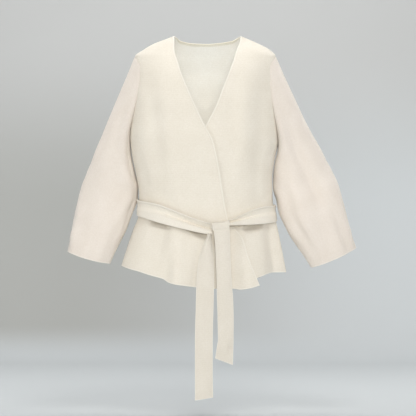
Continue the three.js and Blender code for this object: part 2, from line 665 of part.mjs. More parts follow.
// The frame of a sleeve's section: its middle, half width, and the two directions in the front view.
function sleeveFrame(side, ring) {
  const size = (column) => along(sleeves[side], "ring", ring, column);
  const outer = new THREE.Vector2(size("outX"), -size("outDrop"));
  const inner = new THREE.Vector2(size("inX"), -size("inDrop"));
  const across = outer.clone().sub(inner);
  const half = across.length() / 2;
  across.normalize();
  return {
    middle: outer.add(inner).multiplyScalar(0.5),
    half,
    across,
    down: new THREE.Vector2(across.y, -across.x),
    depth: size("depth"),
    back: size("back"),
    armhole: size("armhole"),
  };
}

// The depth of a sleeve's long folds at an angle and ring.
function sleeveFold(side, degrees, ring) {
  let sum = 0;
  for (const fold of sleeveFolds[side]) {
    const middle = lerp(fold.angle, fold.foot, (ring - fold.from) / (fold.to - fold.from));
    const fade = (fold.to - fold.from) / 3;
    const open = fold.to >= 11 ? 1 : 1 - smoothstep(ring, fold.to - fade, fold.to);
    const reach = smoothstep(ring, fold.from, fold.from + fade) * open;
    sum += fold.depth * reach * bell(degrees - middle, fold.width);
  }
  return sum;
}

// A point of a sleeve by the angle round it and its ring, from inside the armhole (-1) to the cuff.
function sleevePoint(side, degrees, ring) {
  const reach = ring < 0 ? -sleeveStart.inside : sleeveStart.outside;
  const loop = loopPoint(side, degrees, reach);
  const sign = sideSign[side];
  if (ring <= 0) return new THREE.Vector3(sign * loop.out, loop.y, loop.z);
  const [start, here] = [sleeveFrame(side, 0), sleeveFrame(side, ring)];
  const fromStart = new THREE.Vector2(loop.out, loop.z).sub(start.middle);
  const [angle, keep] = [degToRad(degrees), here.armhole];
  const shrink = 1 - sleeveFold(side, degrees, ring) / here.depth;
  const alongChord = lerp(Math.cos(angle) * shrink, fromStart.dot(start.across) / start.half, keep);
  const offChord = fromStart.dot(start.down) * keep;
  const cuff = cuffBow * smoothstep(ring, 9, 11) * Math.sin(angle) ** 2;
  const flat = here.middle.clone().addScaledVector(here.across, here.half * alongChord);
  flat.addScaledVector(here.down, offChord + cuff);
  const y = lerp(-here.depth * shrink * Math.sin(angle), loop.y, keep) + here.back;
  return new THREE.Vector3(sign * flat.x, y, flat.y);
}

// A sleeve: one tube from inside the armhole to the open cuff.
function makeSleeve(side) {
  const columns = 24;
  const rings = [-1, 0, 0.4, 0.9, 1.5, 2.3, 3.1, 4, 4.9, 5.7, 6.5, 7.3, 8.1, 9, 10, 11];
  const grid = Array.from({ length: columns }, (_, i) =>
    rings.map((ring) => sleevePoint(side, (360 * i) / columns, ring)),
  );
  const middles = rings.map((_, j) => {
    const sum = new THREE.Vector3();
    for (const column of grid) sum.add(column[j]);
    return sum.divideScalar(columns);
  });
  const outward = (i, j) => grid[i][j].clone().sub(middles[j]);
  return wall(grid, { thickness: knit, outward, wraps: true });
}

// A point of the belt's inner face by the angle round the body and its share from the lower edge up.
function beltPoint(degrees, share, off) {
  const size = (column) => along(beltPath, "angle", degrees, column);
  const drop = lerp(size("bottom"), size("top"), share);
  const s = section(drop);
  const angle = degToRad(degrees);
  const [cos, sin] = [Math.cos(angle), Math.sin(angle)];
  const overLap = lap * smoothstep(-s.half * cos, -62, 20) * smoothstep(sin, 0, 0.4);
  const hollow = beltHollow * smoothstep(sin, 0.1, 0.8) * 4 * share * (1 - share);
  const stand = lerp(size("offBottom"), size("offTop"), share) + overLap - hollow + off;
  const depth = s[sin > 0 ? "front" : "back"];
  const out = new THREE.Vector2(cos / s.half, sin / depth).normalize();
  const reach = depth * sin * (1 + squareness * cos * cos);
  return new THREE.Vector3(s.middle + s.half * cos + stand * out.x, -reach - stand * out.y, -drop);
}

// The belt round the waist, from the knot round the back to the knot again.
function makeBelt() {
  const [columns, rows] = [50, 3];
  const [from, to] = [beltPath[0].angle, beltPath[beltPath.length - 1].angle];
  const grid = evenly(columns).map((u) =>
    evenly(rows).map((v) => beltPoint(lerp(from, to, u), v, seamGap + beltCloth)),
  );
  const outward = (i, j) => bodyOut(grid[i][j]);
  return wall(grid, { thickness: beltCloth, outward });
}

// A hanging end of the belt: a strip along its middle line, bowed across, cut on a slant.
function makeTail(table, slant, rowsPerStep) {
  const columns = 4;
  const last = table.length - 1;
  const grid = evenly(columns).map((u) =>
    evenly(last * rowsPerStep).map((v) => {
      const size = (column) => along(table, "at", v * last, column);
      const across = 2 * u - 1;
      const bowed = size("bow") * (1 - across * across);
      const cut = slant * across * smoothstep(v, 0.8, 1);
      const z = size("tilt") * across - size("drop") - cut;
      return new THREE.Vector3(size("x") + across * size("half"), size("y") - bowed, z);
    }),
  );
  const hub = new THREE.Vector3(0, knot.y, -knot.drop);
  const outward = (i, j) => {
    const fromHub = grid[i][j].clone().sub(hub).setX(0);
    return j < rowsPerStep * 5 ? fromHub : new THREE.Vector3(0, -1, 0);
  };
  return wall(grid, { thickness: beltCloth, outward });
}

// The bundle of crossed cloth inside the knot: a rounded bar, a little slimmer in the middle.
function makeKnot() {
  const [around, steps] = [12, 8];
  const outline2d = evenly(steps).map((u) => {
    const end = -Math.cos(Math.PI * u);
    const swell = Math.sqrt(1 - Math.abs(end) ** 3.2) * (1 - knot.waist * (1 - end * end));
    return new THREE.Vector2(Math.max(swell, 0), end * knot.halfLength);
  });
  outline2d[0].x = 0;
  outline2d[steps].x = 0;
  const geometry = new THREE.LatheGeometry(outline2d, around);
  geometry.scale(knot.height, 1, knot.depth);
  geometry.rotateZ(Math.PI / 2);
  geometry.rotateY(-Math.atan(knot.tilt / knot.halfLength));
  geometry.translate(knot.x, knot.y, -knot.drop);
  return geometry;
}

const overEdgeAngle = (v) => peplumAngle(along(peplumOverEdge, "share", v, "x"), v);
const underEdgeAngle = (v) => peplumAngle(along(peplumUnderEdge, "share", v, "x"), v);
const overLift = (degrees, v) => {
  return smoothstep(-degrees, -150, -112) * (lap + peplumLap * smoothstep(v, 0, 0.25));
};
const underLength = (degrees) => {
  const { edge, middle } = underShortening;
  return 1 - edge * smoothstep(degrees, 5, 50) - middle * smoothstep(degrees, 50, 80);
};

addPiece("body_back", makeBack(), colours.knit);
addPiece("body_front_right", makeFront({ side: "left", edge: overEdge, lift: lapLift }), colours.knit);
addPiece("body_front_left", makeFront({ side: "right", edge: underEdge }), colours.knit);
addPiece("neck_band", makeNeckBand(), colours.band);
const back = { face: "back", columns: 38, from: () => 180, to: () => 360, seams: ["from", "to"] };
addPiece("peplum_back", makePeplum(back), colours.knit);
const over = { face: "front", columns: 32, from: () => 180, to: overEdgeAngle, seams: ["from"] };
addPiece("peplum_front_right", makePeplum({ ...over, lift: overLift }), colours.knit);
const under = { face: "front", columns: 30, from: () => 0, to: underEdgeAngle, seams: ["from"] };
addPiece("peplum_front_left", makePeplum({ ...under, length: underLength }), colours.knit);
addPiece("sleeve_right", makeSleeve("left"), colours.knit);
addPiece("sleeve_left", makeSleeve("right"), colours.knit);
addPiece("belt_round", makeBelt(), colours.belt);
addPiece("belt_knot", makeKnot(), colours.belt);
addPiece("belt_tail_over", makeTail(overTail, overTailSlant, 2), colours.belt);
addPiece("belt_tail_under", makeTail(underTail, underTailSlant, 2), colours.belt);

export default garment;
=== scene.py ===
# Knit wrap blazer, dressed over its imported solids. Every panel is worked out again as a fine shell on
# the same form, with the creases, seams and knit that the solids leave out. Lengths in the tables are
# millimetres. A drop is measured down from the neck points, +X is the wearer's left, -Y the front.
import bpy
import numpy as np
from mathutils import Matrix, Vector


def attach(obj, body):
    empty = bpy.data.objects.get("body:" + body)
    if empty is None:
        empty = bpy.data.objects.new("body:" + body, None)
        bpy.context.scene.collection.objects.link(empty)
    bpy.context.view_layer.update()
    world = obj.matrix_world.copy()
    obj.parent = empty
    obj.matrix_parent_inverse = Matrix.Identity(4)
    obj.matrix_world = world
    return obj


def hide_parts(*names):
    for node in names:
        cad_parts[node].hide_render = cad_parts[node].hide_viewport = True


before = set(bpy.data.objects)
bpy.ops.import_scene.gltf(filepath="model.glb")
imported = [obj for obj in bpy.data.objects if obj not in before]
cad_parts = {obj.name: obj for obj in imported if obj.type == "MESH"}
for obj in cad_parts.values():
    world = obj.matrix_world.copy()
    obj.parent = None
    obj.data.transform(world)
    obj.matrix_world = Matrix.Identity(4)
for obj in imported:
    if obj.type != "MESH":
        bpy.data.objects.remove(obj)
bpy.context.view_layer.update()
scene = bpy.context.scene
scene.view_settings.view_transform = "Standard"
print("frame loaded:", len(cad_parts), "nodes")


# The camera looks along +Y from far away, as the photograph does.
cameraSetup = {"lens": 250, "sensor": 36, "distance": 7.95, "elevation": 1.0, "lookAt": (0.0019, 0, -0.473)}

def makeCamera(setup):
    # the camera sits on a circle round the point it looks at: out = distance * (0, -cos, sin) of its elevation
    data = bpy.data.cameras.new("camera")
    data.lens, data.sensor_width, data.clip_end = setup["lens"], setup["sensor"], 60
    camera = bpy.data.objects.new("camera", data)
    tilt = np.radians(setup["elevation"])
    out = np.array((0, -np.cos(tilt), np.sin(tilt))) * setup["distance"]
    camera.location = np.array(setup["lookAt"]) + out
    camera.rotation_euler = (np.pi / 2 - tilt, 0, 0)
    scene.collection.objects.link(camera)
    scene.camera = camera

makeCamera(cameraSetup)

# where each lamp is, across how many metres it shines and with how many watts; most face the garment
facing = (0, 0, -0.45)
lights = {
    "key": {"at": (0.45, -3.1, 2.7), "size": 1.5, "power": 59, "colour": (1, 0.995, 0.975)},
    "front": {"at": (0.05, -5.4, 0.45), "size": 1.8, "power": 106, "colour": (1, 0.995, 0.98)},
    "lowLeft": {"at": (-2.8, -1.9, -0.5), "size": 1.5, "power": 26, "colour": (1, 0.97, 0.92)},
    "lowRight": {"at": (2.7, -2.1, -0.4), "size": 1.5, "power": 15, "colour": (1, 0.97, 0.93)},
    "rimRight": {"at": (1.9, 1.3, 0.6), "size": 0.9, "power": 14, "colour": (1, 1, 1)},
    "rimLeft": {"at": (-1.9, 1.3, 0.8), "size": 0.9, "power": 14, "colour": (1, 1, 1)},
    "top": {"at": (0, 0.05, 2.4), "size": 1.2, "power": 12, "colour": (1, 1, 0.99)},
    "inside": {"at": (0, -0.045, -0.105), "aim": (0, 0.09, -0.1), "size": 0.22, "power": 0.125,
               "colour": (0.76, 0.88, 1)},
    "wall": {"at": (0.1, 0.4, 1.9), "aim": (0, 2.8, -0.5), "size": 1.6, "power": 31, "colour": (1, 1, 1)},
}
roomLight = {"colour": (0.95, 0.975, 1, 1), "strength": 0.18}

def makeLights(table):
    # disks that each face their aim and stay out of the picture, and a weak even light from all round
    for name, light in table.items():
        data = bpy.data.lights.new(name, "AREA")
        data.shape, data.size, data.energy, data.color = "DISK", light["size"], light["power"], light["colour"]
        lamp = bpy.data.objects.new(name, data)
        lamp.location = light["at"]
        way = Vector(light.get("aim", facing)) - Vector(light["at"])
        lamp.rotation_euler = way.to_track_quat("-Z", "Y").to_euler()
        lamp.visible_camera = False
        scene.collection.objects.link(lamp)
    world = bpy.data.worlds.new("studio")
    world.use_nodes = True
    world.node_tree.nodes["Background"].inputs["Color"].default_value = roomLight["colour"]
    world.node_tree.nodes["Background"].inputs["Strength"].default_value = roomLight["strength"]
    scene.world = world

makeLights(lights)
print("camera and lights made")


def along(table, by, at, column):
    # a column of a table where another column has the value at: a cubic that never overshoots its rows
    keys, values = np.array(table[by], float), np.array(table[column], float)
    if keys[-1] < keys[0]:
        keys, values = keys[::-1], values[::-1]
    runs = np.diff(keys)
    rises = np.diff(values) / runs
    product, total = rises[:-1] * rises[1:], rises[:-1] + rises[1:]
    slopes = np.where(product > 0, 2 * product / np.where(total == 0, 1, total), 0)
    slopes = np.concatenate([rises[:1], slopes, rises[-1:]])
    i = np.clip(np.searchsorted(keys, at) - 1, 0, len(runs) - 1)
    t = np.clip((at - keys[i]) / runs[i], 0, 1)
    bend = t * (1 - t) * runs[i] * ((1 - t) * slopes[i] - t * slopes[i + 1])
    return values[i] + (values[i + 1] - values[i]) * t * t * (3 - 2 * t) + bend

def ease(x, start, end):
    # 0 before start, 1 after end, smooth between them
    t = np.clip((x - start) / (end - start), 0, 1)
    return t * t * (3 - 2 * t)

def bell(distance, width):
    # e to the minus square of distance over width: 1 in the middle, near 0 beyond two widths
    return np.exp(-(distance / width) ** 2)

def lerp(a, b, t):
    # the point a share t of the way from a to b
    return a + (b - a) * t

# what each wave takes of the two places, and its phase; evenOut brings their sum to about one
evenOut = 2.6
rippleWaves = ((0.031, 0.012, 0.4), (-0.017, 0.043, 2.1), (0.058, 0.021, 4.4), (0.019, -0.067, 1.3),
               (0.083, 0.049, 5.2))

def ripple(a, b, height=1.0):
    # slight unevenness of soft cloth: sine waves with fixed phases that cross each other
    return height * sum(np.sin(a * p + b * q + phase) for p, q, phase in rippleWaves) / evenOut

creaseFade = {"in": 0.3, "out": 0.72}

def creaseDepth(creases, x, drop):
    # the sum of soft troughs, each a bell across a line that may bow sideways, faded at both ends;
    # a negative depth is a ridge
    total = np.zeros(np.broadcast(x, drop).shape)
    for x0, drop0, x1, drop1, width, depth, bow in creases:
        run = np.hypot(x1 - x0, drop1 - drop0)
        ux, ud = (x1 - x0) / run, (drop1 - drop0) / run
        share = ((x - x0) * ux + (drop - drop0) * ud) / run
        across = (x - x0) * ud - (drop - drop0) * ux - bow * 4 * share * (1 - share)
        faded = ease(share, 0, creaseFade["in"]) * (1 - ease(share, creaseFade["out"], 1))
        total = total + depth * faded * bell(across, width)
    return total

def runLength(grid, axis):
    # length along the grid's rows or columns from the first point, in metres
    steps = np.linalg.norm(np.diff(grid, axis=axis), axis=2) * 0.001
    first = np.zeros_like(np.take(steps, [0], axis))
    return np.cumsum(np.concatenate([first, steps], axis), axis)

def squares(columns, rows, ring=False):
    # the corners of each square between i and i + 1, j and j + 1, where point (i, j) has the number
    # i * rows + j; in a ring the first j follows the last
    i, j = np.meshgrid(np.arange(columns - 1), np.arange(rows if ring else rows - 1), indexing="ij")
    after = (j + 1) % rows
    return np.stack([i * rows + j, (i + 1) * rows + j, (i + 1) * rows + after, i * rows + after], -1)

def addObject(name, points, faces):
    # a smooth mesh of the points, in metres, put in the scene
    mesh = bpy.data.meshes.new(name)
    mesh.from_pydata(points.tolist(), [], faces)
    mesh.polygons.foreach_set("use_smooth", np.ones(len(mesh.polygons), bool))
    mesh.update()
    piece = bpy.data.objects.new(name, mesh)
    scene.collection.objects.link(piece)
    return piece

def addMaps(piece, order, *maps):
    # UV maps from coordinates by point, handed out to the corners of the faces in their order
    for name, u, v in maps:
        both = np.stack([u.reshape(-1)[order], v.reshape(-1)[order]], -1)
        piece.data.uv_layers.new(name=name).data.foreach_set("uv", both.astype(np.float32).reshape(-1))

rimCut = {"segments": 2, "sharp": 62}

def makeCloth(name, grid, wale, course, edge, outward, wraps=False, thickness=2.2, edgeRadius=0.8):
    # a grid of outer points made a closed wall: each square joins four neighbours, the sum of the faces'
    # normals along outward decides which way they turn, and the wall goes inward. wale and course are
    # the knit's own coordinates, and edge the distance from a finished edge, in metres
    columns, rows = grid.shape[:2]
    places = squares(columns + 1 if wraps else columns, rows)
    corners = places % (columns * rows)
    flat = grid.reshape(-1, 3)
    middle = flat[corners[..., 0]]
    normal = np.cross(flat[corners[..., 1]] - middle, flat[corners[..., 3]] - middle)
    out = np.broadcast_to(outward, grid.shape).reshape(-1, 3)[corners[..., 0]]
    if (normal * out).sum() < 0:
        corners, places = corners[..., ::-1], places[..., ::-1]
    piece = addObject(name, flat * 0.001, corners.reshape(-1, 4).tolist())
    addMaps(piece, places.reshape(-1), ("knit", wale, course), ("trim", edge, course))
    wall = piece.modifiers.new("wall", "SOLIDIFY")
    wall.thickness, wall.offset = thickness * 0.001, -1
    rim = piece.modifiers.new("rim", "BEVEL")
    rim.width, rim.segments = edgeRadius * 0.001, rimCut["segments"]
    rim.limit_method, rim.angle_limit = "ANGLE", np.radians(rimCut["sharp"])
    return piece

def dress(piece, material, node):
    # the piece takes its material and stands for its CAD node on the one body
    piece.data.materials.append(material)
    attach(piece, "root")
    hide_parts(node)
    return piece


def newGroup(name, inputs, outputs):
    # an empty node group with the named sockets, and the sockets inside it
    tree = bpy.data.node_groups.new(name, "ShaderNodeTree")
    for label, kind, value in inputs:
        socket = tree.interface.new_socket(name=label, in_out="INPUT", socket_type=kind)
        if value is not None:
            socket.default_value = value
    for label, kind in outputs:
        tree.interface.new_socket(name=label, in_out="OUTPUT", socket_type=kind)
    return tree, tree.nodes.new("NodeGroupInput").outputs, tree.nodes.new("NodeGroupOutput").inputs

def maths(tree, operation, *values):
    # one arithmetic node on numbers or sockets
    node = tree.nodes.new("ShaderNodeMath")
    node.operation = operation
    for k, value in enumerate(values):
        if isinstance(value, (int, float)):
            node.inputs[k].default_value = value
        else:
            tree.links.new(value, node.inputs[k])
    return node.outputs[0]

def mixColours(tree, factor, first, second):
    # the first colour, with a share of the second in its place
    node = tree.nodes.new("ShaderNodeMix")
    node.data_type = "RGBA"
    for socket, value in ((node.inputs[0], factor), (node.inputs[6], first), (node.inputs[7], second)):
        if isinstance(value, (int, float, tuple)):
            socket.default_value = value
        else:
            tree.links.new(value, socket)
    return node.outputs[2]

def noise(tree, vector, scale, detail):
    # fractal noise between 0 and 1 at so many features a metre
    node = tree.nodes.new("ShaderNodeTexNoise")
    node.inputs["Scale"].default_value, node.inputs["Detail"].default_value = scale, detail
    tree.links.new(vector, node.inputs["Vector"])
    return node.outputs["Fac"]

# slant is how far a leg rises on its way out, loop how much of the height varies along it, proud how much
# every fourth course adds
stitchSetup = {"slant": 0.55, "loop": 0.55, "proud": 0.35, "courses": 4}

def stitchGroup(setup):
    # each wale is two legs that slant up and outwards, each course repeats them: the height of a leg is a
    # sine across it times a sine along it, and every fourth course stands a little proud
    tree, inputs, outputs = newGroup("knitStitches",
        [("Vector", "NodeSocketVector", None), ("Wale", "NodeSocketFloat", 0.0017),
         ("Course", "NodeSocketFloat", 0.0013)],
        [("Height", "NodeSocketFloat"), ("Hollow", "NodeSocketFloat"), ("Row", "NodeSocketFloat")])
    split = tree.nodes.new("ShaderNodeSeparateXYZ")
    tree.links.new(inputs["Vector"], split.inputs[0])
    x = maths(tree, "DIVIDE", split.outputs[0], inputs["Wale"])
    y = maths(tree, "DIVIDE", split.outputs[1], inputs["Course"])
    offMiddle = maths(tree, "ABSOLUTE", maths(tree, "SUBTRACT", maths(tree, "FRACT", x), 0.5))
    fromMiddle = maths(tree, "MULTIPLY", offMiddle, 2)
    leg = maths(tree, "SINE", maths(tree, "MULTIPLY", fromMiddle, np.pi))
    slanted = maths(tree, "FRACT", maths(tree, "ADD", y, maths(tree, "MULTIPLY", fromMiddle, setup["slant"])))
    loop = maths(tree, "SINE", maths(tree, "MULTIPLY", slanted, np.pi))
    height = maths(tree, "MULTIPLY", leg, maths(tree, "MULTIPLY_ADD", loop, setup["loop"], 1 - setup["loop"]))
    wave = maths(tree, "SINE", maths(tree, "MULTIPLY", y, 2 * np.pi / setup["courses"]))
    row = maths(tree, "MULTIPLY_ADD", wave, 0.5, 0.5)
    tree.links.new(maths(tree, "MULTIPLY_ADD", row, setup["proud"], height), outputs["Height"])
    # Hollow is one less the height, where the material lays painted shade between the legs
    tree.links.new(maths(tree, "SUBTRACT", 1, height), outputs["Hollow"])
    tree.links.new(row, outputs["Row"])
    return tree

# features a metre and detail of each noise, what it adds to the height, and to the tone from its base
fuzzSetup = {"fine": (1500, 2), "soft": (240, 3), "wide": (16, 3), "fineHeight": 0.6, "softHeight": 0.8,
             "softTone": 1.6, "wideTone": 1.2, "toneBase": -0.9}

def fuzzGroup(setup):
    # loose fibres and slight unevenness of the yarn: the height is fine and soft noise, the tone soft and
    # wide noise, stretched round its middle value of a half
    tree, inputs, outputs = newGroup("woolFuzz", [("Vector", "NodeSocketVector", None)],
                                     [("Height", "NodeSocketFloat"), ("Tone", "NodeSocketFloat")])
    fine, soft, wide = (noise(tree, inputs["Vector"], *setup[key]) for key in ("fine", "soft", "wide"))
    fibres = maths(tree, "MULTIPLY", fine, setup["fineHeight"])
    height = maths(tree, "MULTIPLY_ADD", soft, setup["softHeight"], fibres)
    tone = maths(tree, "MULTIPLY_ADD", soft, setup["softTone"], setup["toneBase"])
    tone = maths(tree, "MULTIPLY_ADD", wide, setup["wideTone"], tone)
    tree.links.new(height, outputs["Height"])
    tree.links.new(tone, outputs["Tone"])
    return tree

# steep is the power of the swell's fall, narrow how many of the groove's half widths fit in the reach, stitch
# how fast its depth varies along the edge and by what share
edgeSetup = {"steep": 4, "narrow": 5, "stitch": (2200, 0.35)}

def edgeGroup(setup):
    # a linked edge: the cloth swells by 1 less the fourth power of its share of the reach, then a groove
    # runs along it as an upside-down parabola, deeper at each stitch
    tree, inputs, outputs = newGroup("linkedEdge",
        [("Vector", "NodeSocketVector", None), ("Reach", "NodeSocketFloat", 0.005)],
        [("Height", "NodeSocketFloat"), ("Mask", "NodeSocketFloat")])
    split = tree.nodes.new("ShaderNodeSeparateXYZ")
    tree.links.new(inputs["Vector"], split.inputs[0])
    share = maths(tree, "DIVIDE", split.outputs[0], inputs["Reach"])
    swell = maths(tree, "MAXIMUM", maths(tree, "SUBTRACT", 1, maths(tree, "POWER", share, setup["steep"])), 0)
    beside = maths(tree, "MULTIPLY", maths(tree, "SUBTRACT", share, 1), setup["narrow"])
    groove = maths(tree, "MAXIMUM", maths(tree, "SUBTRACT", 1, maths(tree, "MULTIPLY", beside, beside)), 0)
    perMetre, depth = setup["stitch"]
    wave = maths(tree, "SINE", maths(tree, "MULTIPLY", split.outputs[1], perMetre))
    stitch = maths(tree, "MULTIPLY_ADD", wave, depth, 1 - depth)
    sunk = maths(tree, "MULTIPLY", groove, stitch)
    # the height also lightens the colour towards rim: a painted highlight on the edge's swell
    tree.links.new(maths(tree, "SUBTRACT", swell, sunk), outputs["Height"])
    # the sunk groove is where the material lays painted shade
    tree.links.new(sunk, outputs["Mask"])
    return tree

groups = {"stitch": stitchGroup(stitchSetup), "fuzz": fuzzGroup(fuzzSetup), "edge": edgeGroup(edgeSetup)}

# colours, the width of a wale, the height of a course and how far an edge's swell reaches, in metres
# shade is a painted shade colour for the stitches' hollows and the edges' grooves, which also darkens the rows; rim
# is a painted highlight colour for the edges' swell
finishes = {
    "knit": {"colour": (0.865, 0.815, 0.725), "shade": (0.745, 0.675, 0.573), "tint": (0.805, 0.75, 0.65),
             "rim": (0.93, 0.895, 0.82), "wale": 0.0017, "course": 0.00135, "edge": 0.005},
    "belt": {"colour": (0.875, 0.83, 0.745), "shade": (0.77, 0.7, 0.6), "tint": (0.85, 0.80, 0.705),
             "rim": (0.955, 0.93, 0.87), "wale": 0.0016, "course": 0.0013, "edge": 0.003},
    # a darker, pinker copy of the knit: painted shade on the sleeves
    "sleeve": {"colour": (0.835, 0.77, 0.705), "shade": (0.73, 0.648, 0.568), "tint": (0.78, 0.71, 0.635),
               "rim": (0.89, 0.84, 0.775), "wale": 0.0017, "course": 0.00135, "edge": 0.005},
    # a darker copy of the belt: painted shade on the hanging ends
    "tail": {"colour": (0.8, 0.752, 0.672), "shade": (0.695, 0.63, 0.54), "tint": (0.745, 0.695, 0.605),
             "rim": (0.9, 0.865, 0.79), "wale": 0.0016, "course": 0.0013, "edge": 0.003},
    "band": {"colour": (0.76, 0.70, 0.57), "shade": (0.64, 0.56, 0.43), "tint": (0.73, 0.665, 0.53),
             "rim": (0.8, 0.745, 0.62), "wale": 0.0012, "course": 0.0013, "edge": 0.002},
}
# how much of each effect shows in the colour: hollow and groove are shares of painted shade, rim of painted
# highlight; and each bump's strength and depth in metres
yarn = {"hollow": 0.22, "groove": 0.35, "row": 0.3, "rim": 0.34, "fuzz": 0.7,
        "knitBump": (0.55, 0.00035), "edgeBump": (0.6, 0.0006)}
sheen = {"Roughness": 0.92, "Specular IOR Level": 0.18, "Sheen Weight": 0.28, "Sheen Roughness": 0.55,
         "Sheen Tint": (1, 0.985, 0.95, 1)}

def makeMaterial(name, finish):
    # the knit's colour runs from colour to tint with the fuzz's tone, is mixed towards shade, a painted shade, in
    # the stitches' hollows and the edge's groove, darkened towards it in rows, and lightened towards rim along an
    # edge as a painted highlight
    material = bpy.data.materials.new(name)
    material.use_nodes = True
    tree = material.node_tree
    shader = tree.nodes["Principled BSDF"]
    for label, value in sheen.items():
        shader.inputs[label].default_value = value
    def place(group, mapName):
        # a group whose Vector is a UV map, or the object's own coordinates
        node = tree.nodes.new("ShaderNodeGroup")
        node.node_tree = groups[group]
        if mapName:
            source = tree.nodes.new("ShaderNodeUVMap")
            source.uv_map = mapName
            tree.links.new(source.outputs[0], node.inputs["Vector"])
        else:
            tree.links.new(tree.nodes.new("ShaderNodeTexCoord").outputs["Object"], node.inputs["Vector"])
        return node
    def bump(height, setting, under):
        # the normal tilted by the slope of height, on top of the bump under it
        node = tree.nodes.new("ShaderNodeBump")
        node.inputs["Strength"].default_value, node.inputs["Distance"].default_value = setting
        tree.links.new(height, node.inputs["Height"])
        if under:
            tree.links.new(under, node.inputs["Normal"])
        return node.outputs[0]
    stitch, fuzz, edge = place("stitch", "knit"), place("fuzz", None), place("edge", "trim")
    stitch.inputs["Wale"].default_value, stitch.inputs["Course"].default_value = finish["wale"], finish["course"]
    edge.inputs["Reach"].default_value = finish["edge"]
    shade, tone = (*finish["shade"], 1), fuzz.outputs["Tone"]
    rows = maths(tree, "MULTIPLY", stitch.outputs["Row"], maths(tree, "MULTIPLY", tone, yarn["row"]))
    base = mixColours(tree, tone, (*finish["colour"], 1), (*finish["tint"], 1))
    # painted shade in the stitches' hollows and the edge's groove
    base = mixColours(tree, maths(tree, "MULTIPLY", stitch.outputs["Hollow"], yarn["hollow"]), base, shade)
    base = mixColours(tree, maths(tree, "MULTIPLY", edge.outputs["Mask"], yarn["groove"]), base, shade)
    base = mixColours(tree, rows, base, shade)
    # painted highlight along the edge's swell
    base = mixColours(tree, maths(tree, "MULTIPLY", edge.outputs["Height"], yarn["rim"]), base, (*finish["rim"], 1))
    tree.links.new(base, shader.inputs["Base Color"])
    height = maths(tree, "MULTIPLY_ADD", fuzz.outputs["Height"], yarn["fuzz"], stitch.outputs["Height"])
    fine = bump(height, yarn["knitBump"], None)
    tree.links.new(bump(edge.outputs["Height"], yarn["edgeBump"], fine), shader.inputs["Normal"])
    return material

cloth = {name: makeMaterial(name, finish) for name, finish in finishes.items()}
print("materials made")


# Floor and wall: one sheet that curves up behind, seen from its front only. Its paper carries painted shade
# low on the left and painted light low on the right and on the floor, between the places in the bands.
stageSetup = {"floor": -1.05, "wall": 2.8, "bend": 0.75, "height": 2.6, "width": 4.5, "front": -3.5,
              "turns": 24, "columns": 12,
              "colour": (0.555, 0.56, 0.555), "paintedShade": (0.445, 0.45, 0.432), "paintedLight": (0.60, 0.627, 0.637),
              "sideBand": (-0.55, 0.75), "lowBand": (-0.55, 0.1), "floorBand": (0.01, 0.12)}

def makeStage(setup):
    # a straight floor, a quarter circle and a straight wall, carried sideways
    turn = np.linspace(0, np.pi / 2, setup["turns"])
    bent = setup["wall"] - setup["bend"] + setup["bend"] * np.sin(turn)
    y = np.concatenate([[setup["front"]], bent, [setup["wall"]]])
    z = np.concatenate([[0], setup["bend"] * (1 - np.cos(turn)), [setup["height"]]]) + setup["floor"]
    x = np.linspace(-setup["width"], setup["width"], setup["columns"])
    grid = np.stack(np.broadcast_arrays(x[:, None], y, z), -1)
    sweep = addObject("studioSweep", grid.reshape(-1, 3), squares(len(x), len(y)).reshape(-1, 4).tolist())
    material = bpy.data.materials.new("paper")
    material.use_nodes = True
    tree = material.node_tree
    shader = tree.nodes["Principled BSDF"]
    shader.inputs["Roughness"].default_value = 0.9
    shader.inputs["Specular IOR Level"].default_value = 0.1
    split = tree.nodes.new("ShaderNodeSeparateXYZ")
    tree.links.new(tree.nodes.new("ShaderNodeTexCoord").outputs["Object"], split.inputs[0])
    def band(value, low, high):
        # a smooth step, 0 up to low and 1 from high
        node = tree.nodes.new("ShaderNodeMapRange")
        node.interpolation_type = "SMOOTHSTEP"
        node.inputs["From Min"].default_value, node.inputs["From Max"].default_value = low, high
        tree.links.new(value, node.inputs["Value"])
        return node.outputs[0]
    side = band(split.outputs[0], *setup["sideBand"])
    low = maths(tree, "SUBTRACT", 1, band(split.outputs[2], *setup["lowBand"]))
    lowLeft = maths(tree, "MULTIPLY", low, maths(tree, "SUBTRACT", 1, side))
    foot = [setup["floor"] + up for up in setup["floorBand"]]
    floor = maths(tree, "SUBTRACT", 1, band(split.outputs[2], *foot))
    # painted shade low on the left, then painted light low on the right and along the floor
    paper = mixColours(tree, lowLeft, (*setup["colour"], 1), (*setup["paintedShade"], 1))
    paper = mixColours(tree, maths(tree, "MULTIPLY", low, side), paper, (*setup["paintedLight"], 1))
    paper = mixColours(tree, floor, paper, (*setup["paintedLight"], 1))
    tree.links.new(paper, shader.inputs["Base Color"])
    behind = tree.nodes.new("ShaderNodeMixShader")
    tree.links.new(tree.nodes.new("ShaderNodeNewGeometry").outputs["Backfacing"], behind.inputs[0])
    tree.links.new(shader.outputs[0], behind.inputs[1])
    tree.links.new(tree.nodes.new("ShaderNodeBsdfTransparent").outputs[0], behind.inputs[2])
    tree.links.new(behind.outputs[0], tree.nodes["Material Output"].inputs[0])
    sweep.data.materials.append(material)

makeStage(stageSetup)
print("stage made")


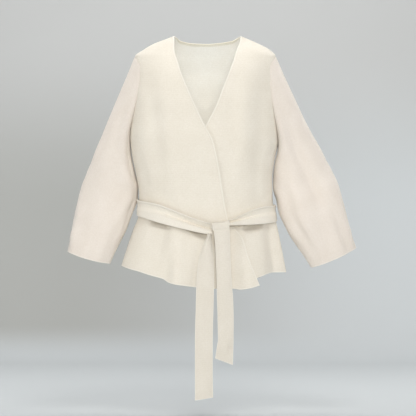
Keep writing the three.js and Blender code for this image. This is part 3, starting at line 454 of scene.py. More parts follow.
# The body's sections: how far it reaches to each side, to the front and to the back.
torso = {
    "drop": [0, 8, 20, 38, 56, 110, 190, 274, 290, 335, 390, 440, 490, 520],
    "left": [91, 112, 144, 176, 199, 203, 209, 214, 212.8, 206, 194.2, 187.5, 188, 188],
    "right": [92, 111, 138, 172, 188, 190, 192.5, 195, 195.5, 186.5, 179, 179.5, 184, 185],
    "front": [16, 27, 39, 53, 64, 87, 103, 107, 106, 101, 93, 87, 84, 84],
    "back": [20, 31, 42, 54, 64, 84, 94, 92, 91, 87, 81, 76, 74, 74],
}
shoulder = {key: values[:5] for key, values in torso.items()}
squareness = 0.25  # how much fuller than an ellipse the sections are
lap = 3.6  # how far the over front stands off the under front
rowEvenness = {"armhole": 0.6, "back": 0.5, "front": 0.6}  # 0 even, 1 all the way to a cosine's spacing
surface = {"ripple": 0.7, "rippleFrom": (10, 60), "sideFade": (0.1, 0.5)}
# where the waist seam lies, and the armholes' two ends
waistDrop = {"left": 480, "right": 492, "front": 513, "back": 484}
armhole = {"left": (56, 274), "right": (56, 290)}
# how far in the armhole's edge lies from the outline, by the share of its height
armholeCurve = {"share": [0, 0.05, 0.15, 0.3, 0.5, 0.68, 0.85, 1], "inset": [0, 9, 18, 18.5, 16.5, 11.5, 5, 0]}
# the fronts' free edges and the back neckline
overEdge = {"drop": [0, 14, 40, 72, 106, 179, 249, 287, 316, 360, 416, 460, 520],
            "x": [-91, -90.5, -90, -81, -70, -39, -5, 15.5, 23, 32, 41, 48, 60]}
underEdge = {"drop": [0, 14, 38, 69, 133, 194, 249, 290, 416, 520],
             "x": [92, 90, 81, 71.5, 47, 23, -5, -22, -46, -62]}
neckline = {"x": [-91, -84, -75, -61, -38, 0, 30, 53, 68, 80, 92],
            "drop": [0, 4.5, 11.5, 15.6, 19, 20.2, 18, 15.2, 12.2, 6.5, 0]}
sideSign = {"left": -1, "right": 1}

# x and drop where each soft crease starts and ends, its width, its depth and how far it bows
bodyCreases = {
    "front": [
        (-178, 44, -122, 430, 24, 4.6, 6), (-120, 70, -92, 470, 26, -3, -4), (-84, 200, -82, 450, 24, 2, 0),
        (168, 34, 142, 400, 28, 9, -5), (134, 300, 140, 490, 16, 3.4, 0), (100, 60, 96, 380, 22, -2.6, 0),
        (84, 300, 92, 490, 24, -1.6, 0), (52, 300, 68, 490, 18, 0.8, 3), (-30, 250, -44, 500, 26, 2.2, 0),
        (-66, 330, -80, 500, 20, -2, 0), (0, 380, 14, 508, 18, -1.6, 4), (-196, 300, -164, 440, 10, 2.2, 6),
        (182, 316, 158, 372, 9, 1.8, -6), (-150, 400, -60, 478, 12, 1.4, -8), (118, 410, 158, 462, 11, 1.6, 4),
        (-170, 430, -148, 474, 8, 1.6, 0), (168, 420, 152, 470, 9, 1.8, 0), (60, 90, 74, 300, 22, 1.6, 0),
    ],
    "back": [
        (-146, 50, -134, 440, 20, 6, 8), (138, 70, 128, 470, 21, 5.5, -8), (-48, 240, -62, 500, 28, 3.5, 0),
        (40, 200, 56, 490, 26, 3.5, 0), (-100, 120, -96, 400, 24, -2.2, 0), (92, 140, 90, 420, 22, -2.2, 0),
        (-10, 60, 4, 200, 30, -1.6, 0), (-190, 300, -120, 360, 12, 2.6, 8), (176, 314, 110, 372, 12, 2.6, -8),
        (-120, 400, -40, 450, 12, 1.8, -8), (130, 410, 60, 462, 12, 1.8, 8), (-170, 60, -168, 180, 9, 3, 0),
        (162, 60, 160, 190, 9, 3, 0), (-20, 400, -6, 480, 12, 1.8, 0), (-150, 20, -60, 70, 14, 1.6, -6),
        (140, 22, 56, 66, 14, 1.6, 6),
    ],
}

def section(drop):
    # the middle of the body at a drop and half its width: half the difference and half the sum of its sides
    left, right = along(torso, "drop", drop, "left"), along(torso, "drop", drop, "right")
    return (right - left) / 2, (right + left) / 2

def bodyDepth(face, x, drop):
    # an ellipse made fuller at its sides, less the creases, which fade at the side seams
    middle, half = section(drop)
    t = np.clip((x - middle) / half, -1, 1)
    bulge = np.sqrt(1 - t * t)
    full = along(torso, "drop", drop, face) * bulge * (1 + squareness * t * t)
    waver = ripple(x, drop, surface["ripple"]) * ease(drop, *surface["rippleFrom"])
    uneven = creaseDepth(bodyCreases[face], x, drop) + waver
    return full - uneven * ease(bulge, *surface["sideFade"])

def outline(side, drop):
    # the x of the body's side, with its sign
    return sideSign[side] * along(torso, "drop", drop, side)

def armholePoint(side, share):
    # the outline between the armhole's two ends, drawn in by its curve
    tip, underarm = armhole[side]
    drop = lerp(tip, underarm, share)
    return outline(side, drop) - sideSign[side] * along(armholeCurve, "share", share, "inset"), drop

def waistSeam(face, x):
    # the seam's drop, from its middle value to its side value with the square of the share of the width
    widestLeft, widestRight = (along(torso, "drop", waistDrop[side], side) for side in ("left", "right"))
    widest = np.where(x < 0, widestLeft, widestRight)
    sideDrop = np.where(x < 0, waistDrop["left"], waistDrop["right"])
    return lerp(waistDrop[face], sideDrop, np.clip(np.abs(x) / widest, 0, 1) ** 2)

def sideBorder(side, sideRows, armRows):
    # up the side seam, then along the armhole's edge, with rows closer together at both ends of it
    down = lerp(waistDrop[side], armhole[side][1], np.arange(sideRows) / sideRows)
    u = np.arange(armRows + 1) / armRows
    armX, armDrop = armholePoint(side, 1 - lerp(u, (1 - np.cos(np.pi * u)) / 2, rowEvenness["armhole"]))
    return np.stack([np.concatenate([outline(side, down), armX]), np.concatenate([down, armDrop])], -1)

def shoulderLine(side, x):
    # points on the outline above the shoulder's tip, found by how far out they are
    drop = along(shoulder, side, np.abs(x), "drop")
    return np.stack([outline(side, drop), drop], -1)

def patch(left, right, bottom, top, across, up):
    # a Coons patch: the two rulings between facing borders, less the ruling of the four corners
    u, v = across[:, None, None], up[None, :, None]
    corners = lerp(lerp(bottom[0], bottom[-1], u), lerp(left[-1], right[-1], u), v)
    return lerp(left[None], right[None], u) + lerp(bottom[:, None], top[:, None], v) - corners

def onBody(points, face, lift=0, gap=0.06):
    # x and drop made a point in space: the body's depth plus the lift, towards the front or back
    x, drop = points[..., 0], points[..., 1]
    y = bodyDepth(face, x, drop) + lift + gap
    return np.stack([x, -y if face == "front" else y, -drop], -1)

knitSteps = {"turns": 40, "levels": 400, "lowest": 530}

def knitOnBody(points, face, setup=knitSteps):
    # the knit's coordinates: round the section from its middle, and down the front or back from the neck
    x, drop = points[..., 0], points[..., 1]
    middle, half = section(drop)
    ratio = along(torso, "drop", drop, face) / half
    end = np.arcsin(np.clip((x - middle) / half, -1, 1))
    turn = end[..., None] * np.linspace(0, 1, setup["turns"])
    sine, cosine = np.sin(turn), np.cos(turn)
    swing = ratio[..., None] * (-sine * (1 + squareness * sine ** 2) + 2 * squareness * sine * cosine ** 2)
    speed = np.sqrt(cosine ** 2 + swing ** 2)
    wale = (speed[..., 1:] + speed[..., :-1]).sum(-1) / 2 * end / (setup["turns"] - 1) * half * 0.001
    levels = np.linspace(0, setup["lowest"], setup["levels"])
    steps = np.hypot(np.diff(levels), np.diff(along(torso, "drop", levels, face)))
    course = np.interp(drop, levels, np.concatenate([[0], np.cumsum(steps)])) * -0.001
    return wale, course

def bodyOut(grid):
    # roughly the way out of the body: level, and stronger towards the front and back
    return grid * np.array([1, 2, 0])

backPanel = {"columns": 150, "neckFrom": 0.2, "sideRows": 58, "armRows": 70,
             "bandHeight": 7, "bandStarts": (-91, -80), "bandEnds": (81, 92)}

def makeBack(setup):
    # a patch between both side borders, the waist seam and the shoulder and neck line, laid on the body
    left, right = (sideBorder(side, setup["sideRows"], setup["armRows"]) for side in ("left", "right"))
    u = np.linspace(0, 1, setup["columns"] + 1)
    across = lerp(u, (1 - np.cos(np.pi * u)) / 2, rowEvenness["back"])
    neckFrom = setup["neckFrom"]
    share = np.clip(np.minimum(across, 1 - across) / neckFrom, 0, 1)
    tipLeft, tipRight = left[-1, 0], right[-1, 0]
    onLeft = shoulderLine("left", lerp(tipLeft, outline("left", 0), share))
    onRight = shoulderLine("right", lerp(tipRight, outline("right", 0), share))
    neckX = lerp(outline("left", 0), outline("right", 0), np.clip((across - neckFrom) / (1 - 2 * neckFrom), 0, 1))
    neck = np.stack([neckX, bandEdge(neckX)], -1)
    top = np.where((share < 1)[:, None], np.where((across < 0.5)[:, None], onLeft, onRight), neck)
    bottomX = lerp(left[0, 0], right[0, 0], across)
    bottom = np.stack([bottomX, waistSeam("back", bottomX)], -1)
    up = (left[0, 1] - left[:, 1]) / (left[0, 1] - left[-1, 1])
    points = patch(left, right, bottom, top, across, up)
    grid = onBody(points, "back")
    wale, course = knitOnBody(points, "back")
    piece = makeCloth("backPanel", grid, wale, course, np.full(wale.shape, 1.0), bodyOut(grid))
    dress(piece, cloth["knit"], "body_back")

def bandEdge(x):
    # the lower edge of the back neck band, which runs out at the neck points
    width = backPanel["bandHeight"] * ease(x, *backPanel["bandStarts"]) * (1 - ease(x, *backPanel["bandEnds"]))
    return along(neckline, "x", x, "drop") + width

makeBack(backPanel)
print("back made")

# a roll is how far the cloth rises at its free edge, and how far in it reaches
frontPanel = {"columns": 110, "sideRows": 58, "armRows": 70, "hemRoll": (0.7, 8), "softRoll": (2.4, 30),
              "softFrom": (20, 90), "softTo": (200, 270)}

def makeFront(name, side, edge, lift, node, setup=frontPanel):
    # a patch between the side border, the free edge, the waist seam and the shoulder, laid on the body
    left = sideBorder(side, setup["sideRows"], setup["armRows"])
    up = (left[0, 1] - left[:, 1]) / (left[0, 1] - left[-1, 1])
    u = np.linspace(0, 1, setup["columns"] + 1)
    across = lerp(u, 1 - np.cos(np.pi / 2 * u), rowEvenness["front"])
    foot = waistSeam("front", along(edge, "drop", waistDrop["front"], "x"))
    edgeDrop = lerp(foot, 0, up)
    right = np.stack([along(edge, "drop", edgeDrop, "x"), edgeDrop], -1)
    bottomX = lerp(left[0, 0], right[0, 0], across)
    bottom = np.stack([bottomX, waistSeam("front", bottomX)], -1)
    top = shoulderLine(side, lerp(left[-1, 0], outline(side, 0), across))
    points = patch(left, right, bottom, top, across, up)
    x, drop = points[..., 0], points[..., 1]
    fromEdge = runLength(onBody(points, "front")[::-1], 0)[::-1]
    (hemRise, hemReach), (softRise, softReach) = setup["hemRoll"], setup["softRoll"]
    softAt = ease(drop, *setup["softFrom"]) * (1 - ease(drop, *setup["softTo"]))
    roll = lift(x, drop) + hemRise * bell(fromEdge * 1000, hemReach)
    roll = roll + softRise * bell(fromEdge * 1000, softReach) * softAt
    grid = onBody(points, "front", roll)
    wale, course = knitOnBody(points, "front")
    piece = makeCloth(name, grid, wale, course, fromEdge, bodyOut(grid))
    dress(piece, cloth["knit"], node)

def lapLift(x, drop):
    # the over front stands a lap off the under one, in full from x -75 and drop 150 on
    return lap * ease(x, -150, -75) * ease(drop, 50, 150)

makeFront("rightFront", "left", overEdge, lapLift, "body_front_right")
makeFront("leftFront", "right", underEdge, lambda x, drop: 0 * x, "body_front_left")
print("fronts made")

bandSetup = {"from": -88, "to": 89, "columns": 120, "rows": 8, "gap": 0.15, "lift": 0.35, "thickness": 2.8,
             "edgeRadius": 0.9}

def makeBand(setup):
    # a strip between the band's lower edge and the neckline, laid on the body
    x = np.linspace(setup["from"], setup["to"], setup["columns"])[:, None]
    v = np.linspace(0, 1, setup["rows"])[None]
    drop = lerp(bandEdge(x) - setup["gap"], along(neckline, "x", x, "drop"), v)
    points = np.stack([x + 0 * v, drop], -1)
    grid = onBody(points, "back", setup["lift"])
    wale, course = runLength(grid, 0), runLength(grid, 1)
    edge = np.minimum(course, course.max() - course)
    piece = makeCloth("neckBand", grid, wale, course, edge, bodyOut(grid),
                      thickness=setup["thickness"], edgeRadius=setup["edgeRadius"])
    dress(piece, cloth["band"], "neck_band")

makeBand(bandSetup)
print("neck band made")


# The peplum's sections by the share of its height.
peplum = {"share": [0, 0.12, 0.35, 0.66, 1],
          "left": [188, 190.5, 203.5, 219.5, 236.5], "right": [185, 187.5, 194.2, 203.5, 213.7],
          "front": [84, 87, 98, 109, 119], "back": [74, 77, 87, 98, 107]}
# angles round the body where each ridge or hollow starts at the waist and ends at the hem, and its lift
flutes = {
    "waist": [0, 10, 24, 41, 56, 72, 88, 102, 116, 127, 137, 147, 163, 180, 191, 207, 223, 238, 254, 268, 284,
              300, 316, 334, 349],
    "hem": [0, 11, 26, 44, 57, 73, 85, 96, 108.5, 118, 134, 150, 165, 180, 193, 210, 226, 240, 254, 267, 283,
            298, 313, 331, 347],
    "lift": [0, 7, -12, 4, 8, -5, 5, -5, 10, -7, -8, -4, -2, 0, 4, -11, 10, -11, 9, -12, 10, -11, 9, -10, 4],
}
hem = {"angle": [0, 14, 27.6, 38.6, 48, 58, 64, 69, 82, 95, 105, 112, 115.5, 119, 132, 147, 180, 225, 270, 315],
       "drop": [648, 650.5, 658, 668.5, 681, 689.7, 692.6, 690, 690, 686, 680.6, 676, 672, 664.3, 653.4, 642.4,
                632, 646, 656, 654]}
# recesses right below the belt: angle, width in degrees, depth, the share where they end, and how much
# that changes with each degree
beltDents = [(134, 11, 14, 0.2, 0), (97, 15, 14, 0.24, -0.011), (46, 12, 18, 0.21, 0), (68, 9, 5, 0.09, 0),
             (205, 9, 8, 0.24, 0), (240, 8, 8, 0.2, 0), (270, 10, 8, 0.26, 0), (300, 9, 8, 0.2, 0),
             (332, 8, 7, 0.22, 0)]
peplumEdges = {"share": [0, 0.12, 0.25, 0.5, 0.8, 1],
               "over": [59.5, 78, 93, 106, 125, 138], "under": [-61, -72, -83, -100, -116, -128]}
# opening is how soon a flute stands out below the seam, and its further growth; lapRound, in degrees less
# than none, is where the over peplum starts to stand off, by lap and more lap down to lapDown; short is how
# much of its height the under peplum leaves off, between two angles
peplumSetup = {"rows": 62, "rowPower": 1.15, "opening": (0.1, 0.15), "ripple": (3.2, 160, 0.8), "dentFrom": 0.04,
               "seamGap": 0.12, "gap": 0.06, "lap": 2.2, "lapRound": (-150, -112), "lapDown": 0.25,
               "short": ((0.115, 5, 50), (0.03, 50, 80))}

def turned(table, angles):
    # the table three times over, so that it closes on itself after 360 degrees
    return {key: [value + (turn if key in angles else 0) for turn in (-360, 0, 360) for value in values]
            for key, values in table.items()}

fluteRound, hemRound = turned(flutes, ("waist", "hem")), turned(hem, ("angle",))

def peplumGrid(degrees, share, face, lift, setup=peplumSetup):
    # the waist section grown towards the hem, with flutes that open from the seam down
    angle = np.radians(degrees)
    left, right, depth = (along(peplum, "share", share, key) for key in ("left", "right", face))
    middle, half = (right - left) / 2, (right + left) / 2
    cosine, sine = np.cos(angle), np.sin(angle)
    outX, outY = cosine / half, sine / depth
    size = np.hypot(outX, outY)
    soon, power = setup["opening"]
    opened = (1 - np.exp(-share / soon)) * share ** power
    atWaist, atHem = (along(fluteRound, key, degrees, "lift") for key in ("waist", "hem"))
    perDegree, perShare, height = setup["ripple"]
    wave = lerp(atWaist, atHem, share) * opened
    wave = wave + ripple(degrees * perDegree, share * perShare, height) * opened * np.abs(sine) + lift
    begun = ease(share, 0, setup["dentFrom"])
    for at, width, deep, foot, slope in beltDents:
        end = foot + slope * (degrees - at)
        wave = wave - deep * np.exp(-((degrees - at) / width) ** 4) * begun * (1 - ease(share, 0.5 * end, end))
    x = middle + half * cosine + wave * outX / size
    y = -depth * sine * (1 + squareness * cosine ** 2) - wave * outY / size
    start = waistSeam(face, middle + half * cosine) + setup["seamGap"]
    end = along(hemRound, "angle", degrees, "drop")
    return np.stack([x, y + (-setup["gap"] if face == "front" else setup["gap"]), -lerp(start, end, share)], -1)

def peplumAngle(x, share):
    # the angle whose cosine is the share of the half width from the section's middle to x
    left, right = along(peplum, "share", share, "left"), along(peplum, "share", share, "right")
    return np.degrees(np.arccos((2 * x - right + left) / (right + left)))

def makePeplum(name, node, face, columns, start, stop, lift=None, length=None, freeEnd=True):
    # a grid of angles between two edges and of shares of the height, closer together near the waist
    v = np.linspace(0, 1, peplumSetup["rows"] + 1)[None] ** peplumSetup["rowPower"]
    u = np.linspace(0, 1, columns + 1)[:, None]
    degrees = lerp(start(v), stop(v), u)
    share = v * (length(degrees) if length else 1)
    grid = peplumGrid(degrees, share, face, lift(degrees, share) if lift else 0)
    wale, course = runLength(grid, 0), -runLength(grid, 1)
    edge = course - course[:, -1:]
    if freeEnd:
        edge = np.minimum(edge, runLength(grid[::-1], 0)[::-1])
    piece = makeCloth(name, grid, wale - wale.mean(), course, edge, bodyOut(grid))
    dress(piece, cloth["knit"], node)

def overEdgeAngle(v):
    # the angle of the over peplum's free edge at each share of the height
    return peplumAngle(along(peplumEdges, "share", v, "over"), v)

def underEdgeAngle(v):
    # the same for the under peplum
    return peplumAngle(along(peplumEdges, "share", v, "under"), v)

def overLift(degrees, share):
    # the over peplum stands off the under one, more towards the hem
    down = lap + peplumSetup["lap"] * ease(share, 0, peplumSetup["lapDown"])
    return ease(-degrees, *peplumSetup["lapRound"]) * down

def underLength(degrees):
    # one less what each step of the table leaves off by this angle
    (first, *firstSpan), (second, *secondSpan) = peplumSetup["short"]
    return 1 - first * ease(degrees, *firstSpan) - second * ease(degrees, *secondSpan)

def fixed(angle):
    # an edge at the same angle from waist to hem
    return lambda v: angle + 0 * v

makePeplum("backPeplum", "peplum_back", "back", 220, fixed(180), fixed(360), freeEnd=False)
makePeplum("rightPeplum", "peplum_front_right", "front", 190, fixed(180), overEdgeAngle,
           lift=overLift)
makePeplum("leftPeplum", "peplum_front_left", "front", 170, fixed(0), underEdgeAngle,
           length=underLength)
print("peplum made")


# The sleeves: outer and inner edge of each ring, half its depth, how far it lies back and how much of the
# armhole's own form it keeps.
armholeShare = [1, 0.75, 0.45, 0.2, 0.06, 0, 0, 0, 0, 0, 0, 0]
sleeves = {
    "left": {
        "ring": list(range(12)),
        "outX": [201.3, 220.8, 245.6, 271, 295.4, 317.6, 334.7, 349, 362.5, 371, 377.6, 383],
        "outDrop": [58, 107, 165, 225, 286, 341, 384, 423, 476, 520, 555, 594],
        "inX": [216.7, 214.9, 213.3, 209.9, 204, 196, 190, 190, 203, 219, 241, 266],
        "inDrop": [271.4, 283, 302, 327, 355, 385, 415, 445, 480, 525, 571, 626],
        "depth": [50, 49, 48, 47, 47, 47, 48, 48, 46, 43, 40, 36],
        "back": [0, 2, 5, 8, 12, 16, 20, 22, 16, 8, 0, -6],
        "armhole": armholeShare,
    },
    "right": {
        "ring": list(range(12)),
        "outX": [190.3, 212.3, 238.4, 267.3, 296.2, 323.7, 345, 360.5, 374.3, 386, 396.3, 407.8],
        "outDrop": [58.5, 110, 166, 228, 283, 334, 376, 412, 459, 506, 544, 584],
        "inX": [198, 196.6, 193.4, 188, 183.6, 180.4, 181.5, 189, 198, 217, 247, 284.6],
        "inDrop": [287.5, 302, 319, 340, 363, 390, 421, 452, 489, 532, 580, 637],
        "depth": [50, 49, 48, 48, 49, 50, 50, 50, 48, 45, 41, 37],
        "back": [0, 1, 3, 6, 9, 10, 8, 2, -6, -12, -16, -18],
        "armhole": armholeShare,
    },
}
# angle round the sleeve (0 outer edge, 90 front, 180 inner) at the fold's two ends, the rings it runs
# between, its width in degrees and its depth
sleeveFolds = {
    "left": [
        (50, 44, 5, 11.8, 27, 4.6), (100, 104, 3.5, 7.5, 14, 2), (114, 108, 7, 12.5, 16, -3.6),
        (134, 150, 2.5, 6, 11, 3), (236, 250, 3.5, 10.5, 22, 5), (296, 284, 4.5, 11.5, 18, 4),
        (70, 84, 1.6, 5.4, 16, 1.2), (128, 108, 5.4, 9.4, 10, 2), (62, 92, 1.2, 4.6, 15, 2.6),
        (140, 128, 0.6, 3.4, 12, 2.4), (150, 158, 6, 10, 8, 1.6), (208, 222, 1, 4.4, 14, 2.6),
        (320, 306, 1.4, 5, 15, 2.4), (88, 84, 8.6, 12.5, 9, 1.6),
    ],
    "right": [
        (92, 66, 1.8, 9.4, 15, 11), (110, 104, 4.2, 11.8, 13, -5), (138, 126, 5.4, 11, 13, 2.4),
        (88, 97, 8.2, 13, 14, 4.8),
        (50, 38, 7, 12, 15, 4), (242, 252, 3, 10.5, 22, 5), (300, 290, 5, 11.5, 17, 4), (76, 84, 0.8, 4, 12, 1.8),
        (150, 160, 0.8, 3.6, 12, 2), (206, 220, 1, 4.4, 14, 2.6), (322, 306, 1.4, 5, 15, 2.4),
    ],
}
sleeveSetup = {"columns": 140, "rows": 150, "setIn": (3.4, 1.3), "reach": (-4, 0.6), "cuffBow": 4,
               "cuffRings": (9, 11), "fullness": 0.76,
               "drawIn": (1.1, 0.35), "girth": 0.39, "ripple": (1.6, 52, 0.8), "rippleFrom": (0.3, 1.5)}

def armholeLoop(side, degrees, reach, setIn):
    # the armhole's edge in space by the angle round the sleeve, drawn in towards its middle
    angle = np.radians(degrees)
    x, drop = armholePoint(side, (1 - np.cos(angle)) / 2)
    front = np.sin(angle) >= 0
    y = np.where(front, -bodyDepth("front", x, drop), bodyDepth("back", x, drop))
    toY, toZ = -y, -sum(armhole[side]) / 2 + drop
    size = np.hypot(toY, toZ)
    return np.abs(x) + reach, y + toY / size * setIn, -drop + toZ / size * setIn

def foldDepth(folds, degrees, ring):
    # the sum of all folds: each one's depth times a bell of the angle from its line, faded at both ends
    total = 0
    for start, foot, first, last, width, depth in folds:
        middle = lerp(start, foot, (ring - first) / (last - first))
        fade = (last - first) / 3
        away = (degrees - middle + 180) % 360 - 180
        shown = depth * ease(ring, first, first + fade) * (1 - ease(ring, last - fade, last))
        total = total + shown * bell(away, width)
    return total

def chord(size):
    # half the length of the line between a ring's two edges, and half the direction along it
    runX, runZ = size["outX"] - size["inX"], size["inDrop"] - size["outDrop"]
    half = np.hypot(runX, runZ) / 2
    return half, runX / half / 2, runZ / half / 2

def makeSleeve(side, name, node, setup=sleeveSetup):
    # rings that turn from the armhole's own loop into ellipses on slanted chords, out to the open cuff
    u = np.arange(setup["columns"] + 1) / setup["columns"]
    degrees = (360 * u)[:, None]
    ring = np.concatenate([[-1, -0.5, 0], np.linspace(0, 11, setup["rows"])[1:]])[None]
    inner = np.clip(-ring, 0, 1)
    reach, setIn = (lerp(setup[key][1], setup[key][0], inner) for key in ("reach", "setIn"))
    drawn, drawnBy = setup["drawIn"]
    loopX, loopY, loopZ = armholeLoop(side, degrees, reach, setIn - drawn * ease(ring, 0, drawnBy))
    size = {key: along(sleeves[side], "ring", ring, key) for key in sleeves[side]}
    first = {key: values[0] for key, values in sleeves[side].items()}
    (half, chordX, chordZ), (startHalf, startX, startZ) = chord(size), chord(first)
    fromX = loopX - (first["outX"] + first["inX"]) / 2
    fromZ = loopZ + (first["outDrop"] + first["inDrop"]) / 2
    angle = np.radians(degrees)
    keep = size["armhole"]
    perDegree, perRing, height = setup["ripple"]
    waver = ripple(degrees * perDegree, ring * perRing, height) * ease(ring, *setup["rippleFrom"])
    folds = foldDepth(sleeveFolds[side], degrees, ring) + waver
    shrink = 1 - folds / size["depth"]
    onChord = lerp(np.cos(angle) * shrink, (fromX * startX + fromZ * startZ) / startHalf, keep)
    cuff = setup["cuffBow"] * ease(ring, *setup["cuffRings"])
    offChord = (fromX * startZ - fromZ * startX) * keep + cuff * np.sin(angle) ** 2
    x = (size["outX"] + size["inX"]) / 2 + chordX * half * onChord + chordZ * offChord
    z = -(size["outDrop"] + size["inDrop"]) / 2 + chordZ * half * onChord - chordX * offChord
    fullSine = np.sign(np.sin(angle)) * np.abs(np.sin(angle)) ** setup["fullness"]
    y = lerp(-size["depth"] * shrink * fullSine, loopY, keep) + size["back"]
    atBody = ring <= 0
    x, y, z = np.where(atBody, loopX, x), np.where(atBody, loopY, y), np.where(atBody, loopZ, z)
    grid = np.stack([x * sideSign[side], y, z], -1)
    course = -runLength(grid, 1)
    wale = (u * setup["girth"])[:, None] + 0 * course
    edge = course - course[:, -1:]
    middles = grid[:-1].mean(0)
    piece = makeCloth(name, grid[:-1], wale, course, edge, grid[:-1] - middles, wraps=True)
    # the sleeves take the darker knit copy, their painted shade
    dress(piece, cloth["sleeve"], node)

makeSleeve("left", "rightSleeve", "sleeve_right")
makeSleeve("right", "leftSleeve", "sleeve_left")
print("sleeves made")


# The belt by the angle round the body: its two edges, how far each stands off, where it
# folds (a share of its height), how far off the upper part starts there and how soft the fold is.
beltPath = {
    "angle": [74, 66, 57, 45, 31, 0, -45, -90, -135, -180, -207, -225, -238, -249, -260, -267, -274.5],
    "top": [508, 498.5, 486, 473.5, 467, 465, 458, 452, 448, 448.5, 454, 460, 472, 485.5, 499.5, 507, 514.5],
    "bottom": [518, 518, 517, 516, 513.5, 508.5, 504, 499, 494, 492, 498, 509, 518, 526.5, 535, 539.5, 543],
    "offTop": [10, 10, 9, 7.5, 5.5, 3, 1, 0.8, 1, 3, 4, 6, 8, 10.5, 13, 13.5, 13],
    "offBottom": [15, 14.5, 14, 12, 9.5, 4.5, 7, 7, 6, 3, 6, 10, 13.5, 15.5, 17.5, 19, 20],
    "offFold": [3, 1.5, 1, 0.6, 0.5, 0.8, 1.5, 2, 1.5, 0.8, 0.6, 0.6, 0.6, 0.8, 1, 2, 4],
    "foldAt": [0.5, 0.5, 0.48, 0.5, 0.54, 0.55, 0.5, 0.5, 0.5, 0.55, 0.55, 0.55, 0.52, 0.5, 0.46, 0.44, 0.42],
    "soft": [0.07, 0.07, 0.07, 0.09, 0.13, 0.2, 0.4, 0.5, 0.4, 0.2, 0.16, 0.12, 0.09, 0.07, 0.06, 0.06, 0.06],
}
# a rim is its height and its place and reach across, as shares of the belt's height
beltSetup = {"columns": 420, "rows": 34, "width": 0.048, "thickness": 2.8, "edgeRadius": 1.1, "gap": 0.3,
             "upturn": 0.2, "rims": ((0.05, 0.94, 0.05), (0.012, 0.03, 0.05)), "ripple": (3.3, 0.4),
             "lapAcross": (-62, 20), "lapRound": (0, 0.4)}

def makeBelt(setup):
    # a strip round the body section: its two edges stand off it by the table, and a lengthwise groove
    # deepens towards the knot, where the strip folds up
    degrees = np.linspace(beltPath["angle"][0], beltPath["angle"][-1], setup["columns"] + 1)[:, None]
    v = np.linspace(0, 1, setup["rows"] + 1)[None]
    size = {key: along(beltPath, "angle", degrees, key) for key in beltPath}
    drop = lerp(size["bottom"], size["top"], v)
    middle, half = section(drop)
    angle = np.radians(degrees)
    cosine, sine = np.cos(angle), np.sin(angle)
    overLap = lap * ease(-half * cosine, *setup["lapAcross"]) * ease(sine, *setup["lapRound"])
    low = size["offBottom"] * (1 - setup["upturn"] * v / size["foldAt"])
    high = lerp(size["offFold"], size["offTop"], (v - size["foldAt"]) / (1 - size["foldAt"]))
    stand = lerp(low, high, ease(v, size["foldAt"] - size["soft"], size["foldAt"] + size["soft"]))
    upper, lower = (rise * bell(v - at, reach) for rise, at, reach in setup["rims"])
    perDegree, height = setup["ripple"]
    stand = stand + (size["bottom"] - size["top"]) * (upper + lower)
    stand = stand + overLap + setup["gap"] + setup["thickness"] + ripple(degrees * perDegree, drop, height)
    stand = np.maximum(stand, overLap + setup["gap"] + setup["thickness"])
    depth = np.where(sine > 0, along(torso, "drop", drop, "front"), along(torso, "drop", drop, "back"))
    outX, outY = cosine / half, sine / depth
    length = np.hypot(outX, outY)
    x = middle + half * cosine + stand * outX / length
    y = -depth * sine * (1 + squareness * cosine ** 2) - stand * outY / length
    grid = np.stack([x, y, -drop], -1)
    wale, course = (v - 0.5) * setup["width"] + 0 * degrees, runLength(grid, 0)
    edge = (0.5 - np.abs(v - 0.5)) * setup["width"] + 0 * degrees
    piece = makeCloth("waistBelt", grid, wale, course, edge, bodyOut(grid),
                      thickness=setup["thickness"], edgeRadius=setup["edgeRadius"])
    dress(piece, cloth["belt"], "belt_round")

makeBelt(beltSetup)

# The belt's two ends by the steps of their middle line: where it runs, half the width, how far the cloth
# bows forward and how much one side sits higher.
overTail = {
    "at": list(range(15)),
    "x": [36, 36, 36, 36.2, 36.8, 38, 40.2, 42.2, 44, 46, 48.2, 49.6, 50, 48, 45.4],
    "y": [-102, -104.5, -109.5, -116, -121, -123, -124.5, -129, -135.5, -142, -143.5, -142, -140, -138, -135],
    "drop": [519, 512.5, 508.5, 509.5, 515, 525.5, 546, 588, 630, 675, 720, 770, 825, 853, 887],
    "half": [23, 23.4, 23.8, 23.8, 23.4, 22, 20.8, 19.8, 19.8, 20.4, 22, 22, 21.2, 22.4, 24],
    "bow": [0, 0, 0, 0, 1, 2, 3, 4, 4, 4, 3, 3, 4, 4, 2],
    "tilt": [3, 3, 3, 3, 2.6, 2, 1, 0, 0, 0, 0, 0, 0, 0, 0],
}
underTail = {
    "at": list(range(13)),
    "x": [6, 5, 2.8, 0, -3.2, -5, -6, -7, -8.6, -9.4, -9.4, -9, -8.6],
    "y": [-104.5, -106.5, -109.5, -115.5, -123, -131, -137.5, -140.5, -141, -140, -139, -138, -137],
    "drop": [539.8, 549, 560, 580, 612, 650, 685, 730, 790, 850, 910, 960, 988],
    "half": [5.2, 6.4, 9.6, 14.4, 20, 23.2, 24, 24.2, 24.2, 24.2, 24.2, 24.4, 24.8],
    "bow": [11, 11, 10, 8.5, 6.5, 4.5, 3, 2, 2, 2.5, 3, 3, 3],
    "tilt": [0] * 13,
}
# creases of the ends: where along (0 to 1), where across (-1 to 1), lengths of the dent and its depth
tailCreases = {
    "over": [(0.375, 0.1, 0.012, 1.2, 1.3), (0.92, 0.62, 0.03, 0.3, 2.6), (0.76, 0.4, 0.06, 0.5, 1.2),
             (0.6, -0.4, 0.08, 0.4, 1)],
    "under": [(0.12, 0.25, 0.1, 0.5, 5), (0.1, -0.9, 0.16, 0.2, -2.2), (0.62, 0.3, 0.07, 0.5, 0.9),
              (0.8, -0.3, 0.06, 0.5, 0.9)],
}
tailSetup = {"columns": 26, "rows": 240, "looped": 0.36, "ripple": (22, 0.5), "rippleFrom": (0.2, 0.4),
             "slantFrom": 0.8, "width": 0.048, "thickness": 2.8, "edgeRadius": 1.1}
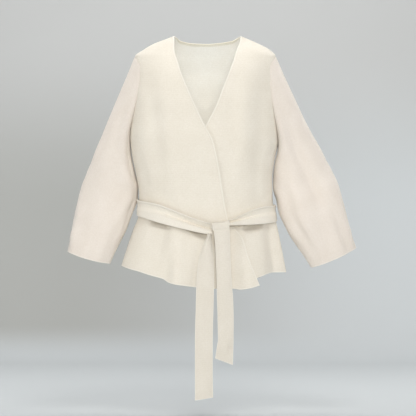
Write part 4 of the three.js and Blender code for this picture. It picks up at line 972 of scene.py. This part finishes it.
# a fold is its depth, how many go round and how far they twist along half the knot
knot = {"around": 64, "steps": 48, "middle": (35, -111.6, -523), "half": 24, "deep": 6.8, "high": 9.6, "rise": 3,
        "blunt": 3.2, "narrow": 0.2, "tip": 0.02, "folds": ((0.1, 3, 2.2), (0.05, 7, -3)), "girth": 0.008}

def makeTail(name, node, table, slant, creases, setup=tailSetup):
    # a strip along its middle line, bowed across, dented by its creases and cut on a slant
    v = np.linspace(0, 1, setup["rows"] + 1)[None]
    across = np.linspace(-1, 1, setup["columns"] + 1)[:, None]
    size = {key: along(table, "at", v * table["at"][-1], key) for key in table}
    bow = size["bow"] * (1 - across ** 2)
    for at, side, length, width, depth in creases:
        bow = bow - depth * bell(v - at, length) * bell(across - side, width)
    perSide, height = setup["ripple"]
    bow = bow + ripple(across * perSide, size["drop"], height) * ease(v, *setup["rippleFrom"])
    x = size["x"] + across * size["half"]
    z = -size["drop"] - slant * across * ease(v, setup["slantFrom"], 1) + size["tilt"] * across
    grid = np.stack([x, size["y"] - bow, z], -1)
    wale, course = across * setup["width"] / 2 + 0 * v, -runLength(grid, 1)
    # the over end's loop faces away from the knot's middle, all the rest faces front
    looped = (v < setup["looped"])[..., None] & (name == "overTail")
    out = np.where(looped, (grid - np.array(knot["middle"])) * [0, 1, 1], [0, -1, 0])
    edge = np.minimum((1 - np.abs(across)) * setup["width"] / 2 + 0 * v, course - course[:, -1:])
    piece = makeCloth(name, grid, wale, course, edge, out,
                      thickness=setup["thickness"], edgeRadius=setup["edgeRadius"])
    # the ends take the darker belt copy, their painted shade
    dress(piece, cloth["tail"], node)

def makeKnot(setup):
    # a rounded bar with the lengthwise folds of the two crossed belt ends, twisted along it
    around, steps = setup["around"], setup["steps"]
    s = np.linspace(-1, 1, steps)[:, None]
    a = np.linspace(0, 2 * np.pi, around, endpoint=False)[None]
    swell = np.sqrt(np.clip(1 - np.abs(s) ** setup["blunt"], setup["tip"], 1)) * (1 - setup["narrow"] * (1 - s * s))
    folds = 1
    for depth, count, twist in setup["folds"]:
        folds = folds + depth * np.cos(count * a + twist * s)
    middleX, middleY, middleZ = setup["middle"]
    x = middleX + setup["half"] * s + 0 * a
    y = middleY - setup["deep"] * swell * folds * np.sin(a)
    z = middleZ + setup["high"] * swell * folds * np.cos(a) + setup["rise"] * s
    grid = np.stack([x, y, z], -1)
    caps = [list(range(around)), list(range(steps * around - 1, (steps - 1) * around - 1, -1))]
    faces = squares(steps, around, ring=True).reshape(-1, 4).tolist() + caps
    piece = addObject("beltKnot", grid.reshape(-1, 3) * 0.001, faces)
    order = np.array([corner for face in faces for corner in face])
    addMaps(piece, order, ("knit", (a + 0 * s) * setup["girth"], x * 0.001), ("trim", 0 * x + 1, x * 0.001))
    dress(piece, cloth["belt"], "belt_knot")

makeKnot(knot)
makeTail("overTail", "belt_tail_over", overTail, 9, tailCreases["over"])
makeTail("underTail", "belt_tail_under", underTail, -4, tailCreases["under"])
print("belt made")


# Two tack stitches hold the fronts together near the over front's edge.
tacks = {"places": [(41.8, 460), (47.6, 485.4)], "length": 1.7, "radius": 0.32, "taper": 0.85, "run": 0.6,
         "rise": 0.5, "narrow": 0.4, "flat": 0.8, "off": 0.05, "arch": 0.25}

def makeTacks(setup, sides=8, steps=7):
    # each tack is two short crossed threads, half sunk in the cloth
    verts, faces = [], []
    for x, drop in setup["places"]:
        y = -bodyDepth("front", np.array(x), np.array(drop)) - lap
        for slant in (-1, 1):
            s = np.linspace(-1, 1, steps)[:, None]
            a = np.linspace(0, 2 * np.pi, sides, endpoint=False)[None]
            radius = setup["radius"] * np.sqrt(1 - setup["taper"] * s ** 2)
            px = x + setup["length"] * setup["run"] * s + radius * np.cos(a) * setup["narrow"]
            pz = -drop + slant * setup["length"] * setup["rise"] * s + radius * np.cos(a)
            py = y - setup["off"] - setup["arch"] * (1 - s ** 2) + radius * np.sin(a) * setup["flat"]
            start = sum(len(v) for v in verts)
            verts.append(np.stack(np.broadcast_arrays(px, py, pz), -1).reshape(-1, 3) * 0.001)
            last = start + (steps - 1) * sides
            faces += (squares(steps, sides, ring=True)[..., [0, 3, 2, 1]].reshape(-1, 4) + start).tolist()
            faces += [list(range(start, start + sides))[::-1], list(range(last, last + sides))]
    piece = addObject("tackStitches", np.concatenate(verts), faces)
    for mapName in ("knit", "trim"):
        piece.data.uv_layers.new(name=mapName)
    piece.data.materials.append(cloth["band"])
    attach(piece, "root")

makeTacks(tacks)
print("tacks made")
